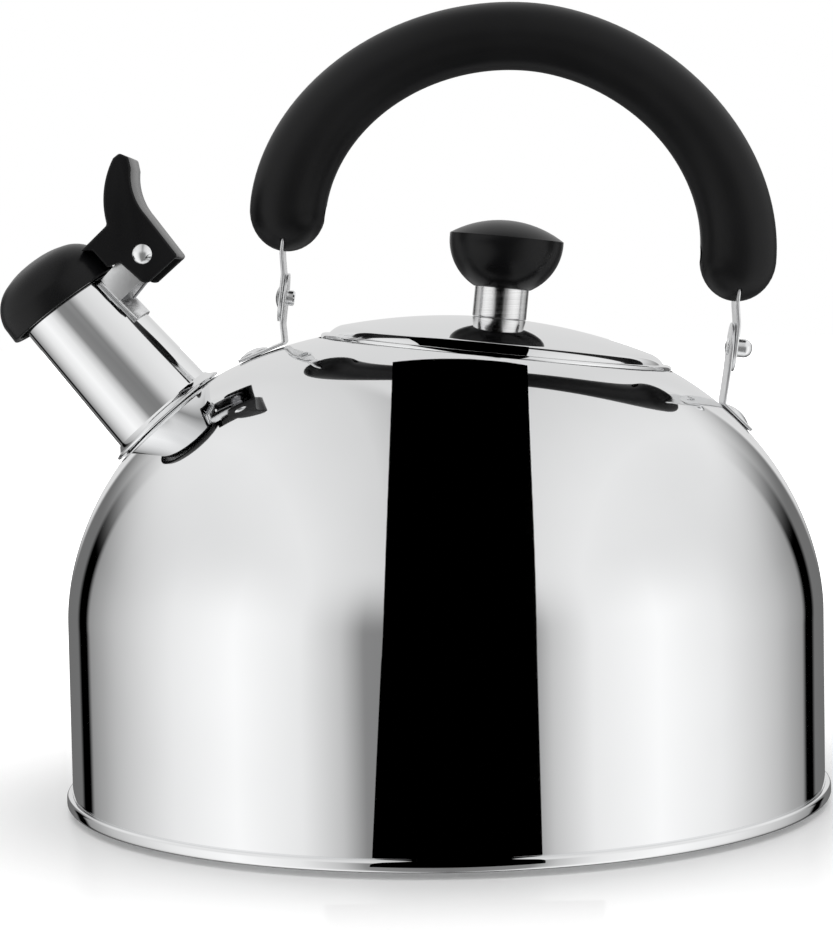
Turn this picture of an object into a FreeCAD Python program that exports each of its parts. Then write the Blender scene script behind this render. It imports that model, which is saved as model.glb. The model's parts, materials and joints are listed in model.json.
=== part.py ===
import FreeCAD, Part

import math
import os

from FreeCAD import Placement, Rotation, Vector

# Stovetop whistling kettle, in millimetres. Origin: centre of the foot, on the hob. +Z is up and
# the spout points to -X. Three tilted frames lean about Y: the lid's, the handle's and the spout's.

# ---- body: a straight wall that turns into a superelliptic dome ----
SHEET = 0.7
WALL_R = 108.5
DOME_BASE_Z = 54.4
DOME_H = 82.0
DOME_POWER_R = 2.48
DOME_POWER_Z = 1.835
DOME_STEPS = 18

# ---- foot ----
FLOOR_Z = 3.0
RIM_R = 110.2
RIM_LOW_Z = 1.6
RIM_TOP_Z = 5.0
RIM_ROUND = 0.8
RIM_INNER_R = 104.5
RIM_SLOPE_R = 106.5
WALL_SEAT_Z = 2.4
COVER_R = 99.0
COVER_ROUND = 1.4
COVER_T = 0.4

# ---- lid, in the lid frame: r from its axis, w above its rim plane ----
LID_X = 15.9
LID_Z = 128.0
LID_TILT = 6.5
LID_R = 50.6
LID_CROWN_W = 10.4
LID_CROWN_R = 158.0
LID_SEAT_R = 8.8
LID_CROWN_EDGE_R = 44.0
LID_SHOULDER = Vector(46.4, 0, 3.25)
LID_BEAD_IN_R = 48.3
LID_BEAD_ROUND = 1.1
LID_BEAD_LOW_W = -0.6
LID_BEAD_TOP_W = 1.4
LID_HOLE_R = 2.2
LEDGE_R = 51.2
LEDGE_W = -0.9
NECK_R = 44.0
NECK_DEPTH = 8.0
SKIRT_R = 42.8
SKIRT_T = 0.6
SKIRT_LOW_W = -6.5
SKIRT_LIP_R = 40.5

# ---- knob and its stand, on the lid's axis ----
FERRULE_R = 7.8
FERRULE_FOOT = 1.1
FERRULE_GROOVE_W = 12.2
FERRULE_GROOVE = 0.4
KNOB_LOW_W = 18.9
KNOB_LOW_R = 8.1
KNOB_R = 16.4
KNOB_WAIST = Vector(14.1, 0, 24.5)
KNOB_EDGE_LOW_W = 32.0
KNOB_EDGE_W = 33.5
KNOB_TOP_W = 38.4
SCREW_R = 2.0
SCREW_TIP_W = 32.0
SCREW_HEAD_R = 4.0
SCREW_HEAD_H = 2.2
WASHER_R = 6.5
WASHER_T = 0.7

# ---- spout, in the spout frame: t across (up), y, s along the spout from the collar ----
SPOUT_X = -78.9
SPOUT_Z = 111.6
SPOUT_ELEVATION = 49.4
TUBE_R_FOOT = 16.35
TUBE_R_TIP = 14.2
TUBE_LOW_S = -5.0
TUBE_TOP_S = 50.0
TUBE_HOLE_R = 16.7
COLLAR_R = 19.1
COLLAR_TOP_S = 2.7
COLLAR_T = 0.8
COLLAR_LOW_S = 0.0
COLLAR_DISH = 0.7

# ---- whistle cap, in its own frame, which leans a little on the spout ----
CAP_T = -0.95
CAP_S = 43.5
CAP_LEAN = 4.5
CAP_R = 17.8
CAP_SIDE_H = 5.3
CAP_SHOULDER = Vector(15.5, 0, 10.4)
CAP_CROWN_R = 9.8
CAP_CROWN_H = 14.15
CAP_H = 15.5
CAP_CROWN_MID = Vector(6.9, 0, 15.0)
CAP_BORE_R = 16.0
CAP_BORE_H = 5.5
CHAMBER_R = 14.4
CHAMBER_H = 9.0
DOME_CHAMBER_R = 10.0
DOME_CHAMBER_H = 12.8
STEAM_HOLE_R = 3.5
TUBE_END_H = 4.4
PLATE_T = 0.7
SEAT_PLATE_H = 4.75
SEAT_PLATE_R = 15.9
FRONT_PLATE_R = 14.3
PLATE_HOLE_R = 3.0

# ---- thumb lever and its hinge, in the spout frame (t, s) ----
PIVOT_T = 26.6
PIVOT_S = 38.8
LEVER_HALF_W = 12.0
CHANNEL_HALF_W = 10.2
CHANNEL_TOP_T = 32.2
CHANNEL_END_S = 44.5
PIN_R = 1.6
RUNNING = 0.05
PIN_HEAD_R = 2.8
PIN_HEAD_H = 1.2
EAR_HALF_W = 9.6
EAR_T = 1.0
EAR_R = 4.2
EAR_LOW_S = 33.4
EAR_HIGH_S = 41.4
CLIP_LOW_S = 26.2
CLIP_HIGH_S = 41.0
CLIP_T = 1.0
COIL_R = 3.4
COIL_BORE_R = 2.5
COIL_HALF_W = 6.5
WIRE_R = 0.4
LEG_Y = -6.0
LEG_START = (2.95, 0.0)
LEG_BEND = (1.4, -5.3)
LEG_FOOT_T = 15.9
LEG_FOOT_S = 31.6

# ---- handle, in the handle frame: u along it (to the rear), w up; the pivots lie on w = 0 ----
HANDLE_X = 19.55
HANDLE_Z = 137.0
HANDLE_TILT = 7.4
BRACKET_U = 64.3
BRACKET_KNEE_W = -7.5
FRONT_BEND_X = -44.7
REAR_BEND_X = 80.9
STRAP_U = 65.45
STRAP_T = 1.0
STRAP_W = 14.0
STRAP_BEND_LOW_W = 6.6
STRAP_BEND_HIGH_W = 12.5
STRAP_TOP_W = 34.0
STRAP_SHIFT = -1.1
FRONT_FOOT_X = -53.3
REAR_FOOT_X = 84.4
FRONT_TOE = 4.4
REAR_TOE = 5.2
FOOT_RIVET_R = 1.6
FOOT_HEAD_R = 4.2
FOOT_HEAD_H = 1.3
FOOT_TAIL_R = 2.6
FOOT_TAIL_H = 0.8
PIVOT_R = 1.8
HEAD_GAP = 0.1
RIVET_HEAD_R = 3.25
RIVET_HEAD_H = 1.2
RIVET_TAIL_R = 2.2
RIVET_TAIL_H = 2.0
PIVOT_SCREW_HEAD_R = 2.5
PIVOT_SCREW_HEAD_H = 1.1
NUT_R = 2.7
NUT_H = 4.6
NUT_ROUND = 1.6
NUT_CAP_T = 0.9

# ---- grip, in the grip frame: two superellipses in one plane, an oval section between them ----
GRIP_U = -1.4
GRIP_W = 25.1
GRIP_LEAN = 2.0
GRIP_OUTER = (76.0, 66.1, 1.906)
GRIP_INNER = (54.0, 46.8, 1.935)
GRIP_HALF_Y = 11.0
GRIP_FRONT_ANGLE = 182.6
GRIP_REAR_ANGLE = 2.6
GRIP_STEPS = 13
GRIP_END_LENGTH = 12.0
GRIP_END_ANGLES = (25, 48, 66, 80)
GRIP_SECTION_POINTS = 16
SLOT_T = 1.1
SLOT_HALF_Y = 7.7
GRIP_SCREW_W = 25.0
GRIP_SCREW_R = 1.5
GRIP_SCREW_HEAD_R = 2.8
GRIP_SCREW_HEAD_H = 1.8
GRIP_SCREW_HEAD_U = 58.5
GRIP_SCREW_TIP_U = 71.0

FULL_TURN = 360
AXIS_X = Vector(1, 0, 0)
AXIS_Y = Vector(0, 1, 0)
AXIS_Z = Vector(0, 0, 1)
REACH = 40.0

LID_FRAME = Placement(Vector(LID_X, 0, LID_Z), Rotation(AXIS_Y, LID_TILT))
SPOUT_FRAME = Placement(Vector(SPOUT_X, 0, SPOUT_Z), Rotation(AXIS_Y, SPOUT_ELEVATION - 90))
CAP_FRAME = SPOUT_FRAME * Placement(Vector(CAP_T, 0, CAP_S), Rotation(AXIS_Y, CAP_LEAN))
HANDLE_FRAME = Placement(Vector(HANDLE_X, 0, HANDLE_Z), Rotation(AXIS_Y, HANDLE_TILT))
GRIP_FRAME = HANDLE_FRAME * Placement(Vector(GRIP_U, 0, GRIP_W), Rotation(AXIS_Y, GRIP_LEAN))


# ---- helpers ----
def placed(shape, frame):
    """A copy of the shape, moved from a local frame into the kettle's frame."""
    copy = shape.copy()
    copy.Placement = frame * copy.Placement
    return copy


def lathe(edges):
    """Solid of revolution about Z of a closed outline of edges in the XZ plane."""
    face = Part.Face(Part.Wire(edges))
    return face.revolve(Vector(), AXIS_Z, FULL_TURN)


def outline(*points):
    """Straight edges through points, each an (r, z) pair or a vector in the XZ plane."""
    vectors = [p if isinstance(p, Vector) else Vector(p[0], 0, p[1]) for p in points]
    return [Part.makeLine(a, b) for a, b in zip(vectors, vectors[1:])]


def arc(start, middle, end):
    """Circular edge through three points in the XZ plane."""
    return Part.Arc(start, middle, end).toShape()


def crown_to_axis(edge, top):
    """Arc from an edge point up to a point on the axis, round about a centre on the axis."""
    rise = top.z - edge.z
    ball_r = (edge.x ** 2 + rise ** 2) / (2 * rise)
    middle_r = edge.x / 2
    middle_z = top.z - ball_r + math.sqrt(ball_r ** 2 - middle_r ** 2)
    return arc(edge, Vector(middle_r, 0, middle_z), top)


def ring(outer_r, inner_r, low, high):
    """Plain ring about Z."""
    height = high - low
    outer = Part.makeCylinder(outer_r, height, Vector(0, 0, low))
    return outer.cut(Part.makeCylinder(inner_r, height, Vector(0, 0, low)))


def dome_head(radius, height, start, direction):
    """Low domed head: a slice of a ball that stands on its flat face at start."""
    ball_r = (radius ** 2 + height ** 2) / (2 * height)
    ball = Part.makeSphere(ball_r, Vector(0, 0, height - ball_r))
    head = ball.common(Part.makeCylinder(radius, height, Vector()))
    return placed(head, Placement(start, Rotation(AXIS_Z, direction)))


def dome_z(radius):
    """Height of the dome's outside at a radius."""
    return DOME_BASE_Z + DOME_H * (1 - (radius / WALL_R) ** DOME_POWER_R) ** (1 / DOME_POWER_Z)


def dome_normal(x):
    """Outward normal of the dome at a point of its XZ profile."""
    step = 0.01
    slope = (dome_z(abs(x) + step) - dome_z(abs(x) - step)) / (2 * step)
    normal = Vector(-slope * math.copysign(1, x), 0, 1)
    normal.normalize()
    return normal


def dome_solid(inset, low_z):
    """Body of the wall and dome, moved inwards by inset, from low_z up."""
    points = []
    for i in range(DOME_STEPS + 1):
        turn = math.radians(90) * i / DOME_STEPS
        across = max(math.cos(turn), 0) ** (2 / DOME_POWER_R)
        up = math.sin(turn) ** (2 / DOME_POWER_Z)
        points.append(Vector((WALL_R - inset) * across, 0, DOME_BASE_Z + (DOME_H - inset) * up))
    points[-1] = Vector(0, 0, DOME_BASE_Z + DOME_H - inset)
    curve = Part.BSplineCurve()
    curve.interpolate(Points=points, InitialTangent=AXIS_Z, FinalTangent=-AXIS_X)
    foot = Vector(0, 0, low_z)
    corner = Vector(WALL_R - inset, 0, low_z)
    return lathe([*outline(points[-1], foot, corner, points[0]), curve.toShape()])


def sheet_strip(points, thickness, width):
    """Bent flat strip: a centreline in the XZ plane given a thickness, and a width along Y."""
    sides = ([], [])
    for i, point in enumerate(points):
        before = (point - points[i - 1]).normalize() if i else None
        after = (points[i + 1] - point).normalize() if i + 1 < len(points) else None
        before, after = before or after, after or before
        middle = (before + after).normalize()
        normal = Vector(-middle.z, 0, middle.x) * (thickness / 2 / middle.dot(before))
        sides[0].append(point + normal)
        sides[1].append(point - normal)
    loop = [*sides[0], *reversed(sides[1]), sides[0][0]]
    face = Part.Face(Part.makePolygon([p - AXIS_Y * (width / 2) for p in loop]))
    return face.extrude(AXIS_Y * width)


def round_ended(width, end_w, other_w):
    """Mask in the handle frame: a plate outline in Y and w with a round end at end_w."""
    radius = width / 2
    centre_w = end_w + math.copysign(radius, other_w - end_w)
    low = min(centre_w, other_w)
    block = Part.makeBox(4 * REACH + 2 * STRAP_U, width, abs(other_w - centre_w))
    block.translate(Vector(-2 * REACH - STRAP_U, -radius, low))
    start = Vector(-2 * REACH - STRAP_U, 0, centre_w)
    return block.fuse(Part.makeCylinder(radius, 4 * REACH + 2 * STRAP_U, start, AXIS_X))


def pivot_hole(radius, w=0):
    """Bar along the handle frame's u axis, for drilling both ends at height w."""
    return Part.makeCylinder(radius, 4 * REACH + 2 * STRAP_U, Vector(-2 * REACH - STRAP_U, 0, w), AXIS_X)


# ---- foot ----
def make_base_cover():
    """Thin steel cup over the heat disc; it stands on the hob."""
    cup = Part.makeCylinder(COVER_R, FLOOR_Z)
    rim = [e for e in cup.Edges if isinstance(e.Curve, Part.Circle) and e.Vertexes[0].Z < COVER_T]
    cup = cup.makeFillet(COVER_ROUND, rim)
    return cup.cut(heat_core())


def heat_core():
    """Aluminium disc that fills the cover."""
    core = Part.makeCylinder(COVER_R - COVER_T, FLOOR_Z - COVER_T, Vector(0, 0, COVER_T))
    low = [e for e in core.Edges if isinstance(e.Curve, Part.Circle) and e.Vertexes[0].Z < 2 * COVER_T]
    return core.makeFillet(COVER_ROUND - COVER_T, low)


def make_base_pan():
    """Kettle floor with the rolled rim that grips the foot of the wall."""
    wall_in = WALL_R - SHEET
    floor_top = FLOOR_Z + SHEET
    outer_top = Vector(RIM_R, 0, RIM_TOP_Z - RIM_ROUND)
    outer_low = Vector(RIM_R, 0, RIM_LOW_Z + RIM_ROUND)
    top = Vector(RIM_R - RIM_ROUND, 0, RIM_TOP_Z)
    low = Vector(RIM_R - RIM_ROUND, 0, RIM_LOW_Z)
    bow = RIM_ROUND * (1 - math.sqrt(0.5))
    edges = outline((0, floor_top), (0, FLOOR_Z), (RIM_INNER_R, FLOOR_Z))
    edges += outline((RIM_INNER_R, FLOOR_Z), (RIM_SLOPE_R, RIM_LOW_Z), low)
    edges.append(arc(low, Vector(RIM_R - bow, 0, RIM_LOW_Z + bow), outer_low))
    edges += outline(outer_low, outer_top)
    edges.append(arc(outer_top, Vector(RIM_R - bow, 0, RIM_TOP_Z - bow), top))
    edges += outline(top, (WALL_R, RIM_TOP_Z), (WALL_R, WALL_SEAT_Z), (wall_in, WALL_SEAT_Z))
    edges += outline((wall_in, WALL_SEAT_Z), (wall_in, floor_top), (0, floor_top))
    return lathe(edges)


# ---- body ----
def make_body_shell():
    """Wall and dome of one sheet, with the lid's sunk seat, the spout hole and the rivet holes."""
    outside = dome_solid(0, WALL_SEAT_Z)
    shell = outside.cut(dome_solid(SHEET, WALL_SEAT_Z - SHEET))
    step = ring(LEDGE_R + SHEET, LEDGE_R, LEDGE_W - SHEET, NECK_DEPTH)
    ledge = ring(LEDGE_R + SHEET, NECK_R - SHEET, LEDGE_W - SHEET, LEDGE_W)
    neck = ring(NECK_R, NECK_R - SHEET, -NECK_DEPTH, LEDGE_W)
    seat = placed(step.fuse(ledge).fuse(neck), LID_FRAME).common(outside)
    opening = Part.makeCylinder(NECK_R - SHEET, 2 * REACH, Vector(0, 0, -NECK_DEPTH))
    opening = opening.fuse(Part.makeCylinder(LEDGE_R, REACH, Vector(0, 0, LEDGE_W)))
    spout_hole = Part.makeCylinder(TUBE_HOLE_R, REACH, Vector(0, 0, -REACH / 2))
    shell = shell.cut(placed(opening, LID_FRAME)).fuse(seat).removeSplitter()
    shell = shell.cut(placed(spout_hole, SPOUT_FRAME))
    for x in (FRONT_FOOT_X, REAR_FOOT_X):
        normal = dome_normal(x)
        start = Vector(x, 0, dome_z(abs(x))) - normal * REACH / 2
        shell = shell.cut(Part.makeCylinder(FOOT_RIVET_R, REACH, start, normal))
    return shell


# ---- lid ----
def lid_crown_w(radius):
    """Height of the lid's outside above its rim plane."""
    return LID_CROWN_W - radius ** 2 / (2 * LID_CROWN_R)


def crown_edge(near_r, far_r, drop):
    """Arc of the lid's crown between two radii, lowered by drop."""
    radii = (near_r, (near_r + far_r) / 2, far_r)
    return arc(*[Vector(r, 0, lid_crown_w(r) - drop) for r in radii])


def make_lid_shell():
    """Crowned lid with a flat seat for the knob and a half-round bead for a rim."""
    drop = AXIS_Z * SHEET
    edge = Vector(LID_CROWN_EDGE_R, 0, lid_crown_w(LID_CROWN_EDGE_R))
    seat_w = lid_crown_w(LID_SEAT_R)
    bead_in = Vector(LID_BEAD_IN_R, 0, LID_BEAD_TOP_W)
    bead_top = Vector(LID_R - LID_BEAD_ROUND, 0, LID_BEAD_TOP_W)
    bead_out = Vector(LID_R, 0, (LID_BEAD_TOP_W + LID_BEAD_LOW_W) / 2)
    bead_low = Vector(LID_R - LID_BEAD_ROUND, 0, LID_BEAD_LOW_W)
    edges = outline((LID_HOLE_R, seat_w - SHEET), (LID_HOLE_R, seat_w), (LID_SEAT_R, seat_w))
    edges.append(crown_edge(LID_SEAT_R, LID_CROWN_EDGE_R, 0))
    edges.append(arc(edge, LID_SHOULDER, bead_in))
    edges += outline(bead_in, bead_top)
    edges.append(arc(bead_top, bead_out, bead_low))
    edges += outline(bead_low, bead_in - drop)
    edges.append(arc(bead_in - drop, LID_SHOULDER - drop, edge - drop))
    edges.append(crown_edge(LID_CROWN_EDGE_R, LID_SEAT_R, SHEET))
    edges += outline((LID_SEAT_R, seat_w - SHEET), (LID_HOLE_R, seat_w - SHEET))
    return placed(lathe(edges), LID_FRAME)


def make_lid_skirt():
    """Ring under the lid that plugs the neck, with an inward lip at its foot."""
    inner_r = SKIRT_R - SKIRT_T
    top_out = lid_crown_w(SKIRT_R) - SHEET
    top_in = lid_crown_w(inner_r) - SHEET
    lip_w = SKIRT_LOW_W + SKIRT_T
    edges = outline((SKIRT_R, SKIRT_LOW_W), (SKIRT_R, top_out), (inner_r, top_in), (inner_r, lip_w))
    edges += outline((inner_r, lip_w), (SKIRT_LIP_R, lip_w), (SKIRT_LIP_R, SKIRT_LOW_W))
    edges += outline((SKIRT_LIP_R, SKIRT_LOW_W), (SKIRT_R, SKIRT_LOW_W))
    return placed(lathe(edges), LID_FRAME)


def make_knob_ferrule():
    """Turned metal stand with a fine groove and a rounded foot."""
    seat_w = lid_crown_w(LID_SEAT_R)
    groove_w = FERRULE_GROOVE_W + FERRULE_GROOVE / 2
    groove_top = FERRULE_GROOVE_W + FERRULE_GROOVE
    foot = Vector(FERRULE_R - FERRULE_FOOT, 0, seat_w)
    side = Vector(FERRULE_R, 0, seat_w + FERRULE_FOOT)
    round_in = FERRULE_FOOT * (1 - math.sqrt(0.5))
    middle = Vector(FERRULE_R - round_in, 0, seat_w + round_in)
    edges = outline((FERRULE_R, KNOB_LOW_W), (LID_HOLE_R, KNOB_LOW_W), (LID_HOLE_R, seat_w), foot)
    edges.append(arc(foot, middle, side))
    edges += outline(side, (FERRULE_R, FERRULE_GROOVE_W), (FERRULE_R - FERRULE_GROOVE, groove_w))
    edges += outline((FERRULE_R - FERRULE_GROOVE, groove_w), (FERRULE_R, groove_top), (FERRULE_R, KNOB_LOW_W))
    return placed(lathe(edges), LID_FRAME)


def make_knob():
    """Bowl-sided knob with a crowned top and a blind hole for its screw."""
    low = Vector(KNOB_LOW_R, 0, KNOB_LOW_W)
    edge_low = Vector(KNOB_R, 0, KNOB_EDGE_LOW_W)
    edge = Vector(KNOB_R, 0, KNOB_EDGE_W)
    top = Vector(0, 0, KNOB_TOP_W)
    edges = outline(top, (0, SCREW_TIP_W), (SCREW_R, SCREW_TIP_W), (SCREW_R, KNOB_LOW_W), low)
    edges.append(arc(low, KNOB_WAIST, edge_low))
    edges += outline(edge_low, edge)
    edges.append(crown_to_axis(edge, top))
    return placed(lathe(edges), LID_FRAME)


def make_knob_washer():
    """Washer under the lid."""
    top = lid_crown_w(LID_SEAT_R) - SHEET
    return placed(ring(WASHER_R, LID_HOLE_R, top - WASHER_T, top), LID_FRAME)


def make_knob_screw():
    """Pan-head screw from under the lid into the knob."""
    head_top = lid_crown_w(LID_SEAT_R) - SHEET - WASHER_T
    shank = Part.makeCylinder(SCREW_R, SCREW_TIP_W - head_top, Vector(0, 0, head_top))
    head = dome_head(SCREW_HEAD_R, SCREW_HEAD_H, Vector(0, 0, head_top), -AXIS_Z)
    return placed(shank.fuse(head), LID_FRAME)


# ---- spout ----
def tube_cone(inset):
    """Cone of the spout tube, moved inwards by inset."""
    length = TUBE_TOP_S - TUBE_LOW_S
    cone = Part.makeCone(TUBE_R_FOOT - inset, TUBE_R_TIP - inset, length)
    cone.translate(Vector(0, 0, TUBE_LOW_S))
    return cone


def make_spout_tube():
    """Conical tube, its end cut parallel to the whistle cap."""
    tube = placed(tube_cone(0).cut(tube_cone(SHEET)), SPOUT_FRAME)
    beyond = Part.makeCylinder(REACH, REACH, Vector(0, 0, TUBE_END_H))
    return tube.cut(placed(beyond, CAP_FRAME))


def make_spout_collar():
    """Dished ring that covers the joint between tube and dome."""
    bore_r = TUBE_R_FOOT + RUNNING
    lip_r = COLLAR_R - COLLAR_T / 2
    upper_in = Vector(bore_r, 0, COLLAR_TOP_S)
    upper_out = Vector(lip_r, 0, COLLAR_LOW_S + COLLAR_T)
    middle_r = (bore_r + lip_r) / 2
    dish_w = COLLAR_LOW_S + COLLAR_T + COLLAR_DISH
    lower_in = upper_in - AXIS_Z * COLLAR_T
    lower_out = Vector(lip_r, 0, COLLAR_LOW_S)
    edges = [arc(upper_in, Vector(middle_r, 0, dish_w), upper_out)]
    edges.append(arc(upper_out, Vector(COLLAR_R, 0, COLLAR_LOW_S + COLLAR_T / 2), lower_out))
    edges.append(arc(lower_out, Vector(middle_r, 0, dish_w - COLLAR_T), lower_in))
    edges += outline(lower_in, upper_in)
    return placed(lathe(edges), SPOUT_FRAME)


# ---- whistle ----
def cap_moulding():
    """Round cap, hollow inside, with a steam hole through its crown."""
    side = Vector(CAP_R, 0, CAP_SIDE_H)
    crown = Vector(CAP_CROWN_R, 0, CAP_CROWN_H)
    top = Vector(STEAM_HOLE_R, 0, CAP_H)
    edges = outline((CAP_BORE_R, 0), (CAP_R, 0), side)
    edges.append(arc(side, CAP_SHOULDER, crown))
    edges.append(arc(crown, CAP_CROWN_MID, top))
    edges += outline(top, (STEAM_HOLE_R, DOME_CHAMBER_H), (DOME_CHAMBER_R, DOME_CHAMBER_H))
    edges += outline((DOME_CHAMBER_R, DOME_CHAMBER_H), (DOME_CHAMBER_R, CHAMBER_H))
    edges += outline((DOME_CHAMBER_R, CHAMBER_H), (CHAMBER_R, CHAMBER_H), (CHAMBER_R, CAP_BORE_H))
    edges += outline((CHAMBER_R, CAP_BORE_H), (CAP_BORE_R, CAP_BORE_H), (CAP_BORE_R, 0))
    return placed(lathe(edges), CAP_FRAME)


def lever_outline():
    """Side view of the arm and thumb lever in the spout frame, as edges in t and s."""
    arm_root = Vector(14.0, 0, 51.1)
    arm_elbow = Vector(24.6, 0, 51.6)
    tip_back = Vector(38.5, 0, 64.4)
    tip = Vector(40.6, 0, 64.2)
    tip_front = Vector(41.9, 0, 61.9)
    pad = Vector(40.4, 0, 58.9)
    waist = Vector(34.8, 0, 46.5)
    heel_top = Vector(33.9, 0, 32.3)
    heel = Vector(33.3, 0, 31.6)
    toe = Vector(22.8, 0, 31.6)
    belly = Vector(21.0, 0, 34.4)
    belly_front = Vector(20.2, 0, 41.3)
    skirt = Vector(16.6, 0, 42.6)
    edges = outline(arm_root, arm_elbow)
    edges.append(arc(arm_elbow, Vector(31.5, 0, 60.3), tip_back))
    edges += outline(tip_back, tip, tip_front, pad)
    edges.append(arc(pad, Vector(36.5, 0, 53.7), waist))
    edges += outline(waist, heel_top, heel, toe)
    edges.append(arc(toe, Vector(21.4, 0, 32.7), belly))
    edges += outline(belly, belly_front, skirt, (16.6, 49.0), arm_root)
    return edges


def make_whistle_cap():
    """Cap and thumb lever in one moulding; the lever is a channel over the hinge clip."""
    face = Part.Face(Part.Wire(lever_outline()))
    face.translate(Vector(0, -LEVER_HALF_W, 0))
    lever = face.extrude(Vector(0, 2 * LEVER_HALF_W, 0))
    channel = Part.makeBox(CHANNEL_TOP_T, 2 * CHANNEL_HALF_W, CHANNEL_END_S)
    channel.translate(Vector(0, -CHANNEL_HALF_W, 0))
    pin = Part.makeCylinder(PIN_R + RUNNING, 2 * REACH, Vector(PIVOT_T, -REACH, PIVOT_S), AXIS_Y)
    lever = placed(lever.cut(channel).cut(pin), SPOUT_FRAME)
    bore = placed(Part.makeCylinder(CAP_BORE_R, CAP_BORE_H), CAP_FRAME)
    chamber = placed(Part.makeCylinder(CHAMBER_R, CHAMBER_H), CAP_FRAME)
    return cap_moulding().fuse(lever.cut(bore).cut(chamber)).removeSplitter()


def whistle_plate(radius, low_h):
    """Drilled steel disc inside the cap."""
    return placed(ring(radius, PLATE_HOLE_R, low_h, low_h + PLATE_T), CAP_FRAME)


def make_hinge_clip():
    """Saddle on top of the tube with two ears that carry the lever's pin."""
    width = 2 * EAR_HALF_W
    wrap = tube_cone(-CLIP_T).cut(tube_cone(-RUNNING))
    window = Part.makeBox(REACH, width, CLIP_HIGH_S - CLIP_LOW_S, Vector(0, -EAR_HALF_W, CLIP_LOW_S))
    saddle = wrap.common(window)
    ear_span = EAR_HIGH_S - EAR_LOW_S
    blade = Part.makeBox(PIVOT_T - EAR_R, width, ear_span, Vector(EAR_R, -EAR_HALF_W, EAR_LOW_S))
    eye = Part.makeCylinder(EAR_R, width, Vector(PIVOT_T, -EAR_HALF_W, PIVOT_S), AXIS_Y)
    gap_w = width - 2 * EAR_T
    gap = Part.makeBox(2 * REACH, gap_w, 2 * REACH, Vector(0, -gap_w / 2, 0))
    ears = blade.fuse(eye).cut(gap).cut(tube_cone(-RUNNING))
    hole = Part.makeCylinder(PIN_R, width, Vector(PIVOT_T, -EAR_HALF_W, PIVOT_S), AXIS_Y)
    return placed(saddle.fuse(ears).cut(hole).removeSplitter(), SPOUT_FRAME)


def make_lever_rivet():
    """Pin through lever and ears, with a domed head on each side."""
    reach = LEVER_HALF_W + HEAD_GAP
    centre = Vector(PIVOT_T, 0, PIVOT_S)
    rivet = Part.makeCylinder(PIN_R, 2 * reach, centre - AXIS_Y * reach, AXIS_Y)
    for side in (-1, 1):
        rivet = rivet.fuse(dome_head(PIN_HEAD_R, PIN_HEAD_H, centre + AXIS_Y * side * reach, AXIS_Y * side))
    return placed(rivet, SPOUT_FRAME)


def make_lever_spring():
    """Closing spring: its coil as a plain sleeve, and one bent leg down to the saddle."""
    coil = Part.makeCylinder(COIL_R, 2 * COIL_HALF_W, Vector(PIVOT_T, -COIL_HALF_W, PIVOT_S), AXIS_Y)
    bore = Part.makeCylinder(COIL_BORE_R, 2 * COIL_HALF_W, Vector(PIVOT_T, -COIL_HALF_W, PIVOT_S), AXIS_Y)
    start, bend = (Vector(PIVOT_T + t, LEG_Y, PIVOT_S + s) for t, s in (LEG_START, LEG_BEND))
    foot = Vector(LEG_FOOT_T, LEG_Y, LEG_FOOT_S)
    leg = Part.makeSphere(WIRE_R, bend)
    for a, b in ((start, bend), (bend, foot)):
        leg = leg.fuse(Part.makeCylinder(WIRE_R, (b - a).Length, a, b - a))
    return placed(coil.cut(bore).fuse(leg.cut(bore)), SPOUT_FRAME)


# ---- handle hardware ----
def handle_point(u, w):
    """Point of the handle frame, in the kettle's frame."""
    return HANDLE_FRAME.multVec(Vector(u, 0, w))


def make_bracket(side, foot_x, bend_x, toe):
    """Bent plate: a foot riveted to the dome and a kneed upright with the pivot hole."""
    normal = dome_normal(foot_x)
    outward = Vector(normal.z, 0, -normal.x) * side
    on_foot = Vector(foot_x, 0, dome_z(abs(foot_x))) + normal * (STRAP_T / 2 + RUNNING)
    top = handle_point(side * BRACKET_U, STRAP_W / 2)
    knee = handle_point(side * BRACKET_U, BRACKET_KNEE_W)
    bend = on_foot + outward * ((bend_x - on_foot.x) / outward.x)
    strip = sheet_strip([top, knee, bend, on_foot + outward * toe], STRAP_T, STRAP_W)
    mask = placed(round_ended(STRAP_W, STRAP_W / 2, -2 * REACH), HANDLE_FRAME)
    rivet_hole = Part.makeCylinder(FOOT_RIVET_R, REACH, on_foot - normal * REACH / 2, normal)
    return strip.common(mask).cut(placed(pivot_hole(PIVOT_R), HANDLE_FRAME)).cut(rivet_hole)


def make_foot_rivet(foot_x):
    """Rivet with a wide domed head outside and a small tail inside the kettle."""
    normal = dome_normal(foot_x)
    surface = Vector(foot_x, 0, dome_z(abs(foot_x)))
    start = surface - normal * (SHEET + RUNNING)
    length = SHEET + STRAP_T + 2 * RUNNING
    shank = Part.makeCylinder(FOOT_RIVET_R, length, start, normal)
    head = dome_head(FOOT_HEAD_R, FOOT_HEAD_H, start + normal * length, normal)
    return shank.fuse(head).fuse(dome_head(FOOT_TAIL_R, FOOT_TAIL_H, start, -normal))


def make_strap(side):
    """Flat strap from the pivot up into the grip's end, joggled to meet its slot."""
    top_u = side * STRAP_U + STRAP_SHIFT
    line = [(side * STRAP_U, -STRAP_W / 2), (side * STRAP_U, STRAP_BEND_LOW_W)]
    line += [(top_u, STRAP_BEND_HIGH_W), (top_u, STRAP_TOP_W)]
    strip = sheet_strip([Vector(u, 0, w) for u, w in line], STRAP_T, STRAP_W)
    strip = strip.common(round_ended(STRAP_W, -STRAP_W / 2, 2 * REACH))
    strip = strip.cut(pivot_hole(PIVOT_R + RUNNING)).cut(pivot_hole(GRIP_SCREW_R, GRIP_SCREW_W))
    return placed(strip, HANDLE_FRAME)


def strap_face(side):
    """Offset from the origin to the outer face of a strap's lower end, in the handle frame."""
    return side * (STRAP_U + STRAP_T / 2 + HEAD_GAP)


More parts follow.
